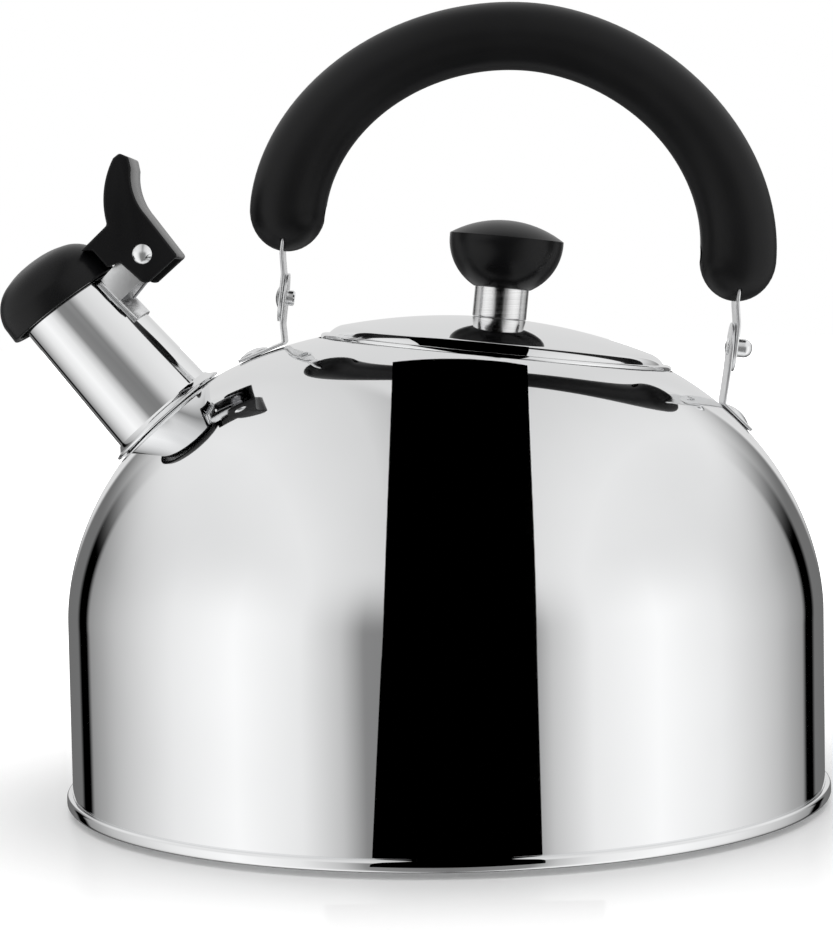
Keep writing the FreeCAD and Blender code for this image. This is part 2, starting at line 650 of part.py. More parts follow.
def bracket_face(side):
    """Offset to the inner face of a bracket's upright."""
    return side * (BRACKET_U - STRAP_T / 2)


def make_front_pivot_rivet():
    """Rivet that the front strap turns on: domed head outside, short tail inside."""
    outside = strap_face(-1)
    inside = bracket_face(-1)
    solid = Part.makeCylinder(PIVOT_R, inside - outside, Vector(outside, 0, 0), AXIS_X)
    solid = solid.fuse(dome_head(RIVET_HEAD_R, RIVET_HEAD_H, Vector(outside, 0, 0), -AXIS_X))
    solid = solid.fuse(Part.makeCylinder(RIVET_TAIL_R, RIVET_TAIL_H, Vector(inside, 0, 0), AXIS_X))
    return placed(solid, HANDLE_FRAME)


def make_rear_pivot_screw():
    """Screw that the rear strap turns on; its thin head is inside."""
    inside = bracket_face(1)
    tip = strap_face(1) + NUT_H - NUT_CAP_T
    solid = Part.makeCylinder(PIVOT_R, tip - inside, Vector(inside, 0, 0), AXIS_X)
    solid = solid.fuse(dome_head(PIVOT_SCREW_HEAD_R, PIVOT_SCREW_HEAD_H, Vector(inside, 0, 0), -AXIS_X))
    return placed(solid, HANDLE_FRAME)


def make_rear_cap_nut():
    """Round-ended nut outside the rear strap."""
    start = Vector(strap_face(1), 0, 0)
    nut = Part.makeCylinder(NUT_R, NUT_H, start, AXIS_X)
    end = [e for e in nut.Edges if isinstance(e.Curve, Part.Circle) and e.Vertexes[0].X > start.x + 1]
    nut = nut.makeFillet(NUT_ROUND, end)
    nut = nut.cut(Part.makeCylinder(PIVOT_R, NUT_H - NUT_CAP_T, start, AXIS_X))
    return placed(nut, HANDLE_FRAME)


# ---- grip ----
def superellipse(sizes, angle):
    """Point of a superellipse in the grip plane at an angle in degrees."""
    half_u, half_w, power = sizes
    c = math.cos(math.radians(angle))
    s = math.sin(math.radians(angle))
    u = math.copysign(abs(c) ** (2 / power), c) * half_u
    w = math.copysign(abs(s) ** (2 / power), s) * half_w
    return Vector(u, 0, w)


def grip_section(centre, across, half, half_y):
    """Closed oval wire about a centre: half wide along across, and half_y along Y."""
    points = []
    for i in range(GRIP_SECTION_POINTS):
        turn = 2 * math.pi * i / GRIP_SECTION_POINTS
        points.append(centre + across * half * math.cos(turn) + AXIS_Y * half_y * math.sin(turn))
    curve = Part.BSplineCurve()
    curve.interpolate(Points=points, PeriodicFlag=True)
    return Part.Wire(curve.toShape())


def grip_end(angle, outwards):
    """Sections that round off one end of the grip, from the leg outwards."""
    outer = superellipse(GRIP_OUTER, angle)
    inner = superellipse(GRIP_INNER, angle)
    half = (outer - inner).Length / 2
    across = (outer - inner).normalize()
    along = Vector(-across.z, 0, across.x) * outwards
    sections = []
    for turn in GRIP_END_ANGLES:
        c = math.cos(math.radians(turn))
        centre = (outer + inner) / 2 + along * GRIP_END_LENGTH * math.sin(math.radians(turn))
        sections.append(grip_section(centre, across, half * c, GRIP_HALF_Y * c))
    return sections


def make_grip():
    """Bowed handgrip with rounded ends, a slot for each strap and screw recesses."""
    sections = list(reversed(grip_end(GRIP_REAR_ANGLE, -1)))
    for i in range(GRIP_STEPS):
        angle = GRIP_REAR_ANGLE + (GRIP_FRONT_ANGLE - GRIP_REAR_ANGLE) * i / (GRIP_STEPS - 1)
        outer = superellipse(GRIP_OUTER, angle)
        inner = superellipse(GRIP_INNER, angle)
        across = (outer - inner).normalize()
        sections.append(grip_section((outer + inner) / 2, across, (outer - inner).Length / 2, GRIP_HALF_Y))
    sections += grip_end(GRIP_FRONT_ANGLE, 1)
    grip = placed(Part.makeLoft(sections, True, False), GRIP_FRAME)
    for side in (-1, 1):
        slot = Part.makeBox(SLOT_T, 2 * SLOT_HALF_Y, STRAP_TOP_W)
        slot.translate(Vector(side * STRAP_U + STRAP_SHIFT - SLOT_T / 2, -SLOT_HALF_Y, 0))
        head_u = side * GRIP_SCREW_HEAD_U
        inwards = Vector(-side, 0, 0)
        recess = Part.makeCylinder(GRIP_SCREW_HEAD_R, REACH, Vector(head_u, 0, GRIP_SCREW_W), inwards)
        depth = GRIP_SCREW_TIP_U - GRIP_SCREW_HEAD_U
        shank = Part.makeCylinder(GRIP_SCREW_R, depth, Vector(head_u, 0, GRIP_SCREW_W), -inwards)
        for tool in (slot, recess, shank):
            grip = grip.cut(placed(tool, HANDLE_FRAME))
    return grip


def make_grip_screw(side):
    """Self-tapping screw from the inside of the grip through the strap."""
    head_u = side * GRIP_SCREW_HEAD_U
    start = Vector(head_u, 0, GRIP_SCREW_W)
    outwards = Vector(side, 0, 0)
    shank = Part.makeCylinder(GRIP_SCREW_R, GRIP_SCREW_TIP_U - GRIP_SCREW_HEAD_U, start, outwards)
    head = dome_head(GRIP_SCREW_HEAD_R - HEAD_GAP, GRIP_SCREW_HEAD_H, start, -outwards)
    return placed(shank.fuse(head), HANDLE_FRAME)


PARTS = {
    "base_cover": make_base_cover,
    "heat_disc": heat_core,
    "base_pan": make_base_pan,
    "body_shell": make_body_shell,
    "lid_shell": make_lid_shell,
    "lid_skirt": make_lid_skirt,
    "knob_ferrule": make_knob_ferrule,
    "knob": make_knob,
    "knob_washer": make_knob_washer,
    "knob_screw": make_knob_screw,
    "spout_collar": make_spout_collar,
    "spout_tube": make_spout_tube,
    "whistle_cap": make_whistle_cap,
    "whistle_seat_plate": lambda: whistle_plate(SEAT_PLATE_R, SEAT_PLATE_H),
    "whistle_front_plate": lambda: whistle_plate(FRONT_PLATE_R, CHAMBER_H - PLATE_T),
    "hinge_clip": make_hinge_clip,
    "lever_rivet": make_lever_rivet,
    "lever_spring": make_lever_spring,
    "front_bracket": lambda: make_bracket(-1, FRONT_FOOT_X, FRONT_BEND_X, FRONT_TOE),
    "rear_bracket": lambda: make_bracket(1, REAR_FOOT_X, REAR_BEND_X, REAR_TOE),
    "front_foot_rivet": lambda: make_foot_rivet(FRONT_FOOT_X),
    "rear_foot_rivet": lambda: make_foot_rivet(REAR_FOOT_X),
    "front_strap": lambda: make_strap(-1),
    "rear_strap": lambda: make_strap(1),
    "front_pivot_rivet": make_front_pivot_rivet,
    "rear_pivot_screw": make_rear_pivot_screw,
    "rear_cap_nut": make_rear_cap_nut,
    "grip": make_grip,
    "front_grip_screw": lambda: make_grip_screw(-1),
    "rear_grip_screw": lambda: make_grip_screw(1),
}


def main():
    """Build every part and write one STEP file for each."""
    os.makedirs("parts", exist_ok=True)
    for name, build in PARTS.items():
        shape = build()
        box = shape.BoundBox
        size = f"{box.XLength:.1f} x {box.YLength:.1f} x {box.ZLength:.1f}"
        print(f"{name}: {len(shape.Solids)} solid, valid {shape.isValid()}, {size} mm, {shape.Volume:.0f} mm3")
        shape.exportStep(f"parts/{name}.step")


main()
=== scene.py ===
"""Looks of a stovetop whistling kettle: each visible piece, its finish and a plain studio.

Outlines are written in millimetres, in the same leaning frames as the design, and each piece
is turned into metres when it is published. The kettle stands on z = 0 with its spout to -X.
"""

from __future__ import annotations

import json
import logging
import math
from dataclasses import dataclass
from enum import Enum
from typing import Sequence

import bmesh
import bpy
from mathutils import Matrix, Vector


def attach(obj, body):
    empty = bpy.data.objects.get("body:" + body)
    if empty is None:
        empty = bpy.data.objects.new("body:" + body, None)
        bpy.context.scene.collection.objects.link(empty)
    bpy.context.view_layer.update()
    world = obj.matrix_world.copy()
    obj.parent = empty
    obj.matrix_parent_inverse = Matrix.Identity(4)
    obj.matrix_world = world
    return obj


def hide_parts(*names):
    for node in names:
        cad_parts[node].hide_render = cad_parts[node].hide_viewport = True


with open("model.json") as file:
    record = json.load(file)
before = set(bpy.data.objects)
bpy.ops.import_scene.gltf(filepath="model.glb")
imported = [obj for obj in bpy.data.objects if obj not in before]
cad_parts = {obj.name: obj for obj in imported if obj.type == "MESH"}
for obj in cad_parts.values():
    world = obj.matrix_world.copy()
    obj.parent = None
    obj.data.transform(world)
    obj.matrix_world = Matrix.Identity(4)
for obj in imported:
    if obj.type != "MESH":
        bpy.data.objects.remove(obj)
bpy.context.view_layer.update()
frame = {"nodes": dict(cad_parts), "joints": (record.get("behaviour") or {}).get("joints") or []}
MM = 0.001
FULL_TURN = 2 * math.pi
LATHE_STEPS = 256
SMALL_LATHE_STEPS = 64
MERGE_DISTANCE = 1e-4

SHEET = 0.7
IDENTITY = Matrix.Identity(4)
SIDES = ((-1, "front"), (1, "rear"))

Point = tuple[float, float]
Triple = tuple[float, float, float]
Mesh = bmesh.types.BMesh
Material = bpy.types.Material
Socket = bpy.types.NodeSocket
log = logging.getLogger("kettle")


class Body(Enum):
    """Moving bodies of the frame."""

    KETTLE = "kettle"
    HANDLE = "handle"
    WHISTLE = "whistle"
    LID = "lid"


# ---- frames ----
def joint(name: str) -> dict:
    """One joint of the frame, by its name."""
    return next(entry for entry in frame["joints"] if entry["name"] == name)


def leaning(x: float, z: float, degrees: float) -> Matrix:
    """Frame at (x, 0, z) in millimetres that leans about Y.

    Args:
        x: Place along X.
        z: Place along Z.
        degrees: Lean; the frame's Z axis turns towards +X.

    Returns:
        The frame's matrix.
    """
    return Matrix.Translation((x, 0, z)) @ Matrix.Rotation(math.radians(degrees), 4, "Y")


def facing(start: Vector, direction: Vector) -> Matrix:
    """Frame at start whose Z axis points along direction and whose Y axis stays level."""
    along = direction.normalized()
    across = Vector((0, 1, 0)).cross(along).normalized()
    level = along.cross(across)
    turn = Matrix((across, level, along)).transposed()
    return Matrix.Translation(start) @ turn.to_4x4()


def handle_frame() -> Matrix:
    """The handle's frame: its X axis is the pivot line, which the fold joint gives."""
    fold = joint("handle_fold")
    x, _, z = (value / MM for value in fold["pos_m"])
    lean = math.degrees(math.atan2(-fold["axis"][2], fold["axis"][0]))
    return leaning(x, z, lean)


def lid_lean() -> float:
    """Lean of the lid in degrees, from the way that it lifts off."""
    axis = joint("lid_lift")["axis"]
    return math.degrees(math.atan2(axis[0], axis[2]))


LID = leaning(15.9, 128.0, lid_lean())
SPOUT_RISE = 49.4
SPOUT = leaning(-78.9, 111.6, SPOUT_RISE - 90)
CAP = SPOUT @ leaning(-0.95, 43.5, 4.5)
LEVER_PIVOT = (26.6, 38.8)
HANDLE = handle_frame()
GRIP = HANDLE @ leaning(-1.4, 25.1, 2.0)
STRAP_U = 65.45
STRAP_SHIFT = -1.1


# ---- outlines ----
def arc(start: Point, middle: Point, end: Point, steps: int = 12) -> list[Point]:
    """Points of the circular arc from start through middle to end.

    Args:
        start: First point.
        middle: Any point of the arc between the ends.
        end: Last point.
        steps: Number of chords.

    Returns:
        The points, both ends included.
    """
    a, b, c = Vector(start), Vector(middle), Vector(end)
    twice_area = 2 * ((b - a).x * (c - a).y - (b - a).y * (c - a).x)
    reach_b, reach_c = (b - a).length_squared, (c - a).length_squared
    centre = a + Vector((
        (c - a).y * reach_b - (b - a).y * reach_c,
        (b - a).x * reach_c - (c - a).x * reach_b,
    )) / twice_area
    first = math.atan2(a.y - centre.y, a.x - centre.x)
    last = math.atan2(c.y - centre.y, c.x - centre.x)
    sweep = (last - first) % FULL_TURN
    if twice_area < 0:
        sweep -= FULL_TURN
    radius = (a - centre).length
    angles = [first + sweep * i / steps for i in range(steps + 1)]
    return [(centre.x + radius * math.cos(t), centre.y + radius * math.sin(t)) for t in angles]


def rounded(corners: Sequence[Triple], closed: bool = True, steps: int = 4) -> list[Point]:
    """Polygon whose corners are rounded.

    Args:
        corners: (x, y, radius) of each corner; a radius of 0 keeps it sharp.
        closed: Whether the last corner joins the first.
        steps: Number of chords in each round.

    Returns:
        The outline's points.
    """
    points: list[Point] = []
    for i, (x, y, radius) in enumerate(corners):
        at_end = not closed and i in (0, len(corners) - 1)
        if radius == 0 or at_end:
            points.append((x, y))
            continue
        here = Vector((x, y))
        before = (Vector(corners[i - 1][:2]) - here).normalized()
        after = (Vector(corners[(i + 1) % len(corners)][:2]) - here).normalized()
        half = before.angle(after) / 2
        bisector = (before + after).normalized()
        centre = here + bisector * radius / math.sin(half)
        nearest = centre - bisector * radius
        reach = radius / math.tan(half)
        start, end = here + before * reach, here + after * reach
        points += arc(tuple(start), tuple(nearest), tuple(end), steps)
    return points


# ---- meshes ----
def wire(bm: Mesh, points: Sequence[Vector], closed: bool) -> list:
    """Vertices and edges of one line in bm."""
    verts = [bm.verts.new(point) for point in points]
    pairs = list(zip(verts, verts[1:])) + ([(verts[-1], verts[0])] if closed else [])
    return verts + [bm.edges.new(pair) for pair in pairs]


def lathe(outline: Sequence[Point], closed: bool = True, steps: int = LATHE_STEPS) -> Mesh:
    """Spin an outline of (radius, height) points about Z.

    Args:
        outline: The points; an open outline starts and ends on the axis or stays a sheet.
        closed: Whether the last point joins the first.
        steps: Number of steps in the turn.

    Returns:
        The mesh, with outward normals.
    """
    bm = bmesh.new()
    geometry = wire(bm, [Vector((r, 0, h)) for r, h in outline], closed)
    bmesh.ops.spin(bm, geom=geometry, cent=(0, 0, 0), axis=(0, 0, 1), angle=FULL_TURN,
                   steps=steps, use_merge=True)
    bmesh.ops.remove_doubles(bm, verts=bm.verts, dist=MERGE_DISTANCE)
    bmesh.ops.recalc_face_normals(bm, faces=bm.faces)
    return bm


def slab(outline: Sequence[Point], half_y: float) -> Mesh:
    """Flat plate: an outline in the XZ plane, given a width along Y.

    Args:
        outline: Points (x, z) of the plate's side view.
        half_y: Half of its width.

    Returns:
        The closed mesh.
    """
    bm = bmesh.new()
    side = bm.faces.new([bm.verts.new((x, -half_y, z)) for x, z in outline])
    grown = bmesh.ops.extrude_face_region(bm, geom=[side])
    moved = [item for item in grown["geom"] if isinstance(item, bmesh.types.BMVert)]
    bmesh.ops.translate(bm, verts=moved, vec=(0, 2 * half_y, 0))
    bmesh.ops.recalc_face_normals(bm, faces=bm.faces)
    return bm


def swept(sections: Sequence[Sequence[Vector]]) -> Mesh:
    """Skin over a row of closed sections with equal numbers of points, closed at both ends."""
    bm = bmesh.new()
    loops = [wire(bm, section, closed=True)[len(section):] for section in sections]
    for first, second in zip(loops, loops[1:]):
        bmesh.ops.bridge_loops(bm, edges=first + second)
    bmesh.ops.edgenet_fill(bm, edges=loops[0])
    bmesh.ops.edgenet_fill(bm, edges=loops[-1])
    bmesh.ops.recalc_face_normals(bm, faces=bm.faces)
    return bm


EDGE_SHARE = 0.42
NOSE_STEPS = 12
TIP_SHARE = 0.002
END_SHRINK = 0.96
END_SWELL = 0.2


def ribbon(line: Sequence[Point], thickness: float, half_y: float, nose: float) -> Mesh:
    """Bent flat strip with rolled edges, whose first end is round.

    Args:
        line: Centreline in the XZ plane, its bends already rounded.
        thickness: Thickness of the strip.
        half_y: Half of its width.
        nose: Radius of the round first end.

    Returns:
        The closed mesh.
    """
    path = [Vector((x, 0, z)) for x, z in line]
    first = (path[1] - path[0]).normalized()
    arcs = [1 - math.cos(math.pi / 2 * i / NOSE_STEPS) for i in range(1, NOSE_STEPS)]
    stations = [path[0] + first * nose * share for share in [TIP_SHARE] + arcs]
    stations.append(path[0] + first * nose)
    stations += [p for p in path[1:] if (p - path[0]).length > nose + 0.1]
    inset = thickness * EDGE_SHARE
    corners = ((1, -1), (1, 1), (-1, 1), (-1, -1))
    rim = rounded([(sx * thickness / 2, sy, inset) for sx, sy in corners], steps=5)
    sections = []
    for i, place in enumerate(stations):
        ahead = stations[min(i + 1, len(stations) - 1)] - stations[max(i - 1, 0)]
        normal = Vector((ahead.z, 0, -ahead.x)).normalized()
        run = min((place - path[0]).length, nose)
        half = max(half_y * math.sqrt(max(1 - (1 - run / nose) ** 2, 0)), thickness * 0.5)
        section = []
        for across, along in rim:
            y = math.copysign(half - inset + (abs(along) - 1 + inset), along)
            section.append(place + normal * across + Vector((0, y, 0)))
        sections.append(section)
    end = stations[-1]
    middle = end + (end - stations[-2]).normalized() * thickness * END_SWELL
    sections.append([middle + (point - end) * END_SHRINK for point in sections[-1]])
    return swept(sections)


def rod(path: Sequence[Vector], radius: float, sides: int = 10) -> Mesh:
    """Round wire along a path."""
    sections = []
    level = Vector((0, 1, 0))
    for i, place in enumerate(path):
        ahead = (path[min(i + 1, len(path) - 1)] - path[max(i - 1, 0)]).normalized()
        level = (level - ahead * level.dot(ahead)).normalized()
        side = ahead.cross(level)
        sections.append([place + (level * math.cos(t) + side * math.sin(t)) * radius
                         for t in (FULL_TURN * k / sides for k in range(sides))])
    return swept(sections)


def studded(head: Sequence[Point], radius: float, tail: Sequence[Point]) -> list[Point]:
    """Open outline of a rivet: tail from the axis, shank, and head back to the axis."""
    return [*tail, (radius, tail[-1][1]), (radius, head[0][1]), *head]


def domed(radius: float, height: float, start: float, lip: float = 0.25) -> list[Point]:
    """Outline of a low dome on a short lip, from its rim to the axis.

    Args:
        radius: Radius of the dome.
        height: Height of the dome; a negative height hangs it downwards.
        start: Height that it stands at.
        lip: Height of the lip.

    Returns:
        The points, the last of them on the axis.
    """
    step = math.copysign(lip, height)
    top = start + height
    over = arc((radius - 0.08, start + step), (0, top), (-radius + 0.08, start + step), 24)[:13]
    over[-1] = (0, top)
    return [(radius - 0.06, start), (radius, start + step * 0.5), *over]


def box(centre: Vector, size: Triple) -> Mesh:
    """Plain box, by its middle and its sizes."""
    bm = bmesh.new()
    place = Matrix.Translation(centre) @ Matrix.Diagonal((*size, 1))
    bmesh.ops.create_cube(bm, size=1.0, matrix=place)
    return bm


def soften(bm: Mesh, width: float, angle: float = 30, segments: int = 2) -> None:
    """Bevel every edge that turns by more than an angle.

    Args:
        bm: The mesh.
        width: Width of the bevel.
        angle: Smallest turn, in degrees.
        segments: Number of faces across each bevel.
    """
    limit = math.radians(angle)
    sharp = [edge for edge in bm.edges
             if len(edge.link_faces) == 2 and edge.calc_face_angle() > limit]
    bmesh.ops.bevel(
        bm, geom=sharp, offset=width, offset_type="OFFSET", segments=segments, profile=0.5,
        affect="EDGES", material=-1, clamp_overlap=True)


def as_object(bm: Mesh, name: str) -> bpy.types.Object:
    """Turn a bmesh into a linked object, and free it."""
    mesh = bpy.data.meshes.new(name)
    bm.to_mesh(mesh)
    bm.free()
    piece = bpy.data.objects.new(name, mesh)
    bpy.context.scene.collection.objects.link(piece)
    return piece


def carved(bm: Mesh, cutters: Sequence[Mesh]) -> Mesh:
    """Cut closed shapes out of a closed mesh.

    Args:
        bm: The mesh to cut; it is used up.
        cutters: The shapes that are taken away; they are used up too.

    Returns:
        The mesh that is left.
    """
    target = as_object(bm, "carving")
    tools = [as_object(cutter, "cutter") for cutter in cutters]
    for tool in tools:
        cut = target.modifiers.new("cut", "BOOLEAN")
        cut.operation = "DIFFERENCE"
        cut.solver = "EXACT"
        cut.object = tool
    result = bmesh.new()
    result.from_object(target, bpy.context.evaluated_depsgraph_get())
    for used in (target, *tools):
        mesh = used.data
        bpy.data.objects.remove(used)
        bpy.data.meshes.remove(mesh)
    return result


# ---- finishes ----
class NodeSheet:
    """Short calls that build the nodes of one material."""

    def __init__(self, name: str) -> None:
        """Start an empty material of that name."""
        self.material = bpy.data.materials.new(name)
        self.material.use_nodes = True
        self.tree = self.material.node_tree
        self.tree.nodes.clear()

    def add(self, kind: str, **inputs: object) -> bpy.types.Node:
        """Add a node.

        Args:
            kind: The node's type without its ShaderNode prefix.
            inputs: Values or output sockets by input name, with _ for a space.

        Returns:
            The new node.
        """
        node = self.tree.nodes.new("ShaderNode" + kind)
        for name, value in inputs.items():
            self.feed(node.inputs[name.replace("_", " ")], value)
        return node

    def feed(self, socket: Socket, value: object) -> None:
        """Link a socket to an input, or set a plain value on it."""
        if isinstance(value, Socket):
            self.tree.links.new(value, socket)
        else:
            socket.default_value = value

    def math(self, operation: str, first: object, second: object = 0.0) -> Socket:
        """Output of a math node.

        Args:
            operation: The operation's name.
            first: Value or socket.
            second: Value or socket.

        Returns:
            The result's socket.
        """
        node = self.tree.nodes.new("ShaderNodeMath")
        node.operation = operation
        for socket, value in zip(node.inputs, (first, second)):
            self.feed(socket, value)
        return node.outputs[0]

    def place(self) -> Socket:
        """Object coordinates, in metres."""
        return self.add("TexCoord").outputs["Object"]

    def mapped(self, lean: float = 0.0, scale: Sequence[float] = (1, 1, 1)) -> Socket:
        """Object coordinates turned by a lean about Y, in degrees, and scaled."""
        node = self.add("Mapping", Vector=self.place(), Scale=tuple(scale))
        node.inputs["Rotation"].default_value = (0, math.radians(-lean), 0)
        return node.outputs["Vector"]

    def noise(self, vector: Socket, scale: float, detail: float = 3.0) -> Socket:
        """Noise value at a scale per metre."""
        return self.add("TexNoise", Vector=vector, Scale=scale, Detail=detail).outputs["Fac"]

    def spread(self, value: Socket, low: float, high: float) -> Socket:
        """Noise from its usual 0.3 to 0.7, spread from low to high."""
        node = self.add(
            "MapRange", Value=value, From_Min=0.3, From_Max=0.7, To_Min=low, To_Max=high)
        return node.outputs["Result"]

    def eased(self, value: Socket, start: float, end: float) -> Socket:
        """Smooth step from 0 to 1 between start and end."""
        node = self.add("MapRange", Value=value, From_Min=start, From_Max=end)
        node.interpolation_type = "SMOOTHSTEP"
        return node.outputs["Result"]

    def tinted(self, value: Socket, dark: Sequence[float], light: Sequence[float]) -> Socket:
        """Colour between dark and light, by a noise value."""
        ramp = self.add("ValToRGB", Fac=value)
        first, last = ramp.color_ramp.elements
        first.position, last.position = 0.3, 0.7
        first.color, last.color = (*dark, 1), (*light, 1)
        return ramp.outputs["Color"]

    def bumped(self, height: Socket, distance: float, strength: float = 1.0) -> Socket:
        """Normal from a height whose full range is distance metres."""
        node = self.add("Bump", Height=height, Distance=distance, Strength=strength)
        return node.outputs["Normal"]

    def surface(self, **inputs: object) -> Material:
        """Finish the material with one Principled shader and return it."""
        shader = self.add("BsdfPrincipled", **inputs)
        self.add("OutputMaterial", Surface=shader.outputs["BSDF"])
        return self.material


@dataclass(frozen=True)
class Steel:
    """Steel sheet or wire: a mirror, or duller with a fine grain."""

    name: str
    slot: str
    dark: Triple = (0.86, 0.865, 0.87)
    light: Triple = (0.92, 0.925, 0.93)
    rough_low: float = 0.02
    rough_high: float = 0.04
    cloud_scale: float = 14.0
    grain_scale: float = 900.0
    grain_depth: float = 0.0

    def material(self) -> Material:
        """Build the finish: handling clouds in its gloss, and rolling grain where it has any."""
        sheet = NodeSheet(self.name)
        clouds = sheet.noise(sheet.place(), self.cloud_scale)
        inputs = {
            "Base_Color": sheet.tinted(clouds, self.dark, self.light),
            "Metallic": 1.0,
            "Roughness": sheet.spread(clouds, self.rough_low, self.rough_high),
        }
        if self.grain_depth > 0:
            grain = sheet.noise(sheet.place(), self.grain_scale, 5.0)
            inputs["Normal"] = sheet.bumped(grain, self.grain_depth)
        return sheet.surface(**inputs)


@dataclass(frozen=True)
class TurnedSteel:
    """Lathe-turned steel: fine rings about the lid's axis."""

    name: str = "turned_ferrule_steel"
    slot: str = "turned_steel"
    ring_scale: float = 3000.0
    ring_depth: float = 0.000012

    def material(self) -> Material:
        """Build the finish: noise that is stretched round the axis."""
        sheet = NodeSheet(self.name)
        along = sheet.mapped(lid_lean(), (0.01, 0.01, 1))
        rings = sheet.noise(along, self.ring_scale, 4.0)
        return sheet.surface(
            Base_Color=sheet.tinted(rings, (0.74, 0.74, 0.74), (0.9, 0.9, 0.9)), Metallic=1.0,
            Roughness=sheet.spread(rings, 0.12, 0.26), Normal=sheet.bumped(rings, self.ring_depth))


@dataclass(frozen=True)
class Moulding:
    """Black thermoset moulding: deep black with a fine skin."""

    name: str
    slot: str
    dark: Triple = (0.0035, 0.0035, 0.0038)
    light: Triple = (0.006, 0.006, 0.0065)
    rough_low: float = 0.24
    rough_high: float = 0.34
    skin_scale: float = 2400.0
    skin_depth: float = 0.00001
    specular: float = 0.3

    def material(self) -> Material:
        """Build the finish: a fine skin and slow clouds in its gloss."""
        sheet = NodeSheet(self.name)
        clouds = sheet.noise(sheet.place(), 30.0)
        skin = sheet.noise(sheet.place(), self.skin_scale, 2.0)
        return sheet.surface(
            Base_Color=sheet.tinted(clouds, self.dark, self.light),
            Specular_IOR_Level=self.specular,
            Roughness=sheet.spread(clouds, self.rough_low, self.rough_high),
            Normal=sheet.bumped(skin, self.skin_depth))


MIRROR = Steel("mirror_steel", "steel")
STRAP_SHEET = Steel(
    "strap_sheet_steel", "strap_steel", rough_low=0.26, rough_high=0.38, cloud_scale=120.0,
    grain_depth=0.000006)
FASTENER = Steel(
    "bright_fastener_steel", "fastener_steel", rough_low=0.14, rough_high=0.24, cloud_scale=200.0)
SPRING_WIRE = Steel(
    "drawn_spring_wire", "spring_wire", dark=(0.5, 0.5, 0.52), light=(0.66, 0.66, 0.68),
    rough_low=0.18, rough_high=0.3, cloud_scale=300.0, grain_scale=2500.0, grain_depth=0.000008)
ALUMINIUM = Steel(
    "cast_aluminium", "aluminium", dark=(0.7, 0.71, 0.73), light=(0.8, 0.81, 0.83),
    rough_low=0.35, rough_high=0.5, cloud_scale=60.0, grain_scale=1500.0, grain_depth=0.00003)
TURNED = TurnedSteel()
KNOB_BLACK = Moulding("knob_and_whistle_black", "black_moulding", specular=0.2)
GRIP_BLACK = Moulding(
    "grip_black_satin", "grip_black", rough_low=0.34, rough_high=0.44, specular=0.2)
Finish = Steel | TurnedSteel | Moulding
_built: dict[str, Material] = {}


def dressed(finish: Finish) -> Material:
    """The finish's material, built once."""
    if finish.name not in _built:
        _built[finish.name] = finish.material()
    return _built[finish.name]


def publish(bm: Mesh, name: str, place: Matrix, finish: Finish, body: Body, *nodes: str,
            crease: float = 32) -> bpy.types.Object:
    """Make a finished piece of a mesh and let it stand for CAD nodes.

    Args:
        bm: The mesh in millimetres, in its own frame; it is used up.
        name: The piece's name.
        place: The frame that the mesh is drawn in.
        finish: What it is finished in.
        body: The body that it rides on.
        nodes: CAD nodes that it stands for.
        crease: Turn in degrees past which an edge is shown sharp.

    Returns:
        The piece.
    """
    bmesh.ops.transform(bm, matrix=Matrix.Scale(MM, 4) @ place, verts=bm.verts)
    piece = as_object(bm, name)
    piece.data.shade_smooth()
    piece.data.set_sharp_from_angle(angle=math.radians(crease))
    piece.data.materials.append(dressed(finish))
    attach(piece, body.value)
    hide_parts(*nodes)
    log.info("%s: %d faces, on %s", name, len(piece.data.polygons), body.value)
    return piece


def keep_node(name: str, finish: Finish) -> None:
    """Keep a CAD node as it is, in a better finish."""
    node = frame["nodes"][name]
    node.data.materials.clear()
    node.data.materials.append(dressed(finish))
    log.info("%s: kept from the frame", name)


# ---- foot ----
@dataclass(frozen=True)
class Foot:
    """Pan floor with its rolled rim, the heat disc and the cup that covers the disc."""

    rim_r: float = 110.2
    rim_low: float = 1.6
    rim_top: float = 5.0
    rim_round: float = 1.1
    wall_r: float = 108.5
    wall_seat: float = 2.4
    floor: float = 3.0
    inner_r: float = 104.5
    slope_r: float = 106.5
    cover_r: float = 99.0
    cover_round: float = 1.4
    cover_t: float = 0.4

    def rim(self) -> Mesh:
        """Pan and rolled rim as one closed outline, spun."""
        inside = self.wall_r - SHEET
        top = self.floor + SHEET
        outline = [(0, self.floor)]
        outline += rounded([
            (0, self.floor, 0), (self.inner_r, self.floor, 0.5), (self.slope_r, self.rim_low, 0.5),
            (self.rim_r, self.rim_low, self.rim_round), (self.rim_r, self.rim_top, self.rim_round),
            (self.wall_r, self.rim_top, 0.15), (self.wall_r, self.wall_seat, 0),
            (inside, self.wall_seat, 0), (inside, top, 0.5), (0, top, 0)],
            closed=False, steps=6)[1:]
        return lathe(outline, closed=False)

    def cup(self) -> Mesh:
        """Cover of the heat disc: a shallow cup with a rounded edge."""
        radius, bend, sheet = self.cover_r, self.cover_round, self.cover_t
        outer = rounded([(0, 0, 0), (radius, 0, bend), (radius, self.floor, 0)],
                        closed=False, steps=6)
        inner = rounded([(radius - sheet, self.floor, 0), (radius - sheet, sheet, bend - sheet),
                         (0, sheet, 0)], closed=False, steps=6)
        return lathe(outer + inner, closed=False)

    def build(self) -> None:
        """Build the foot."""
        publish(self.rim(), "rolled_rim_pan", IDENTITY, MIRROR, Body.KETTLE, "base_pan")
        publish(self.cup(), "disc_cover", IDENTITY, MIRROR, Body.KETTLE, "base_cover")
        keep_node("heat_disc", ALUMINIUM)


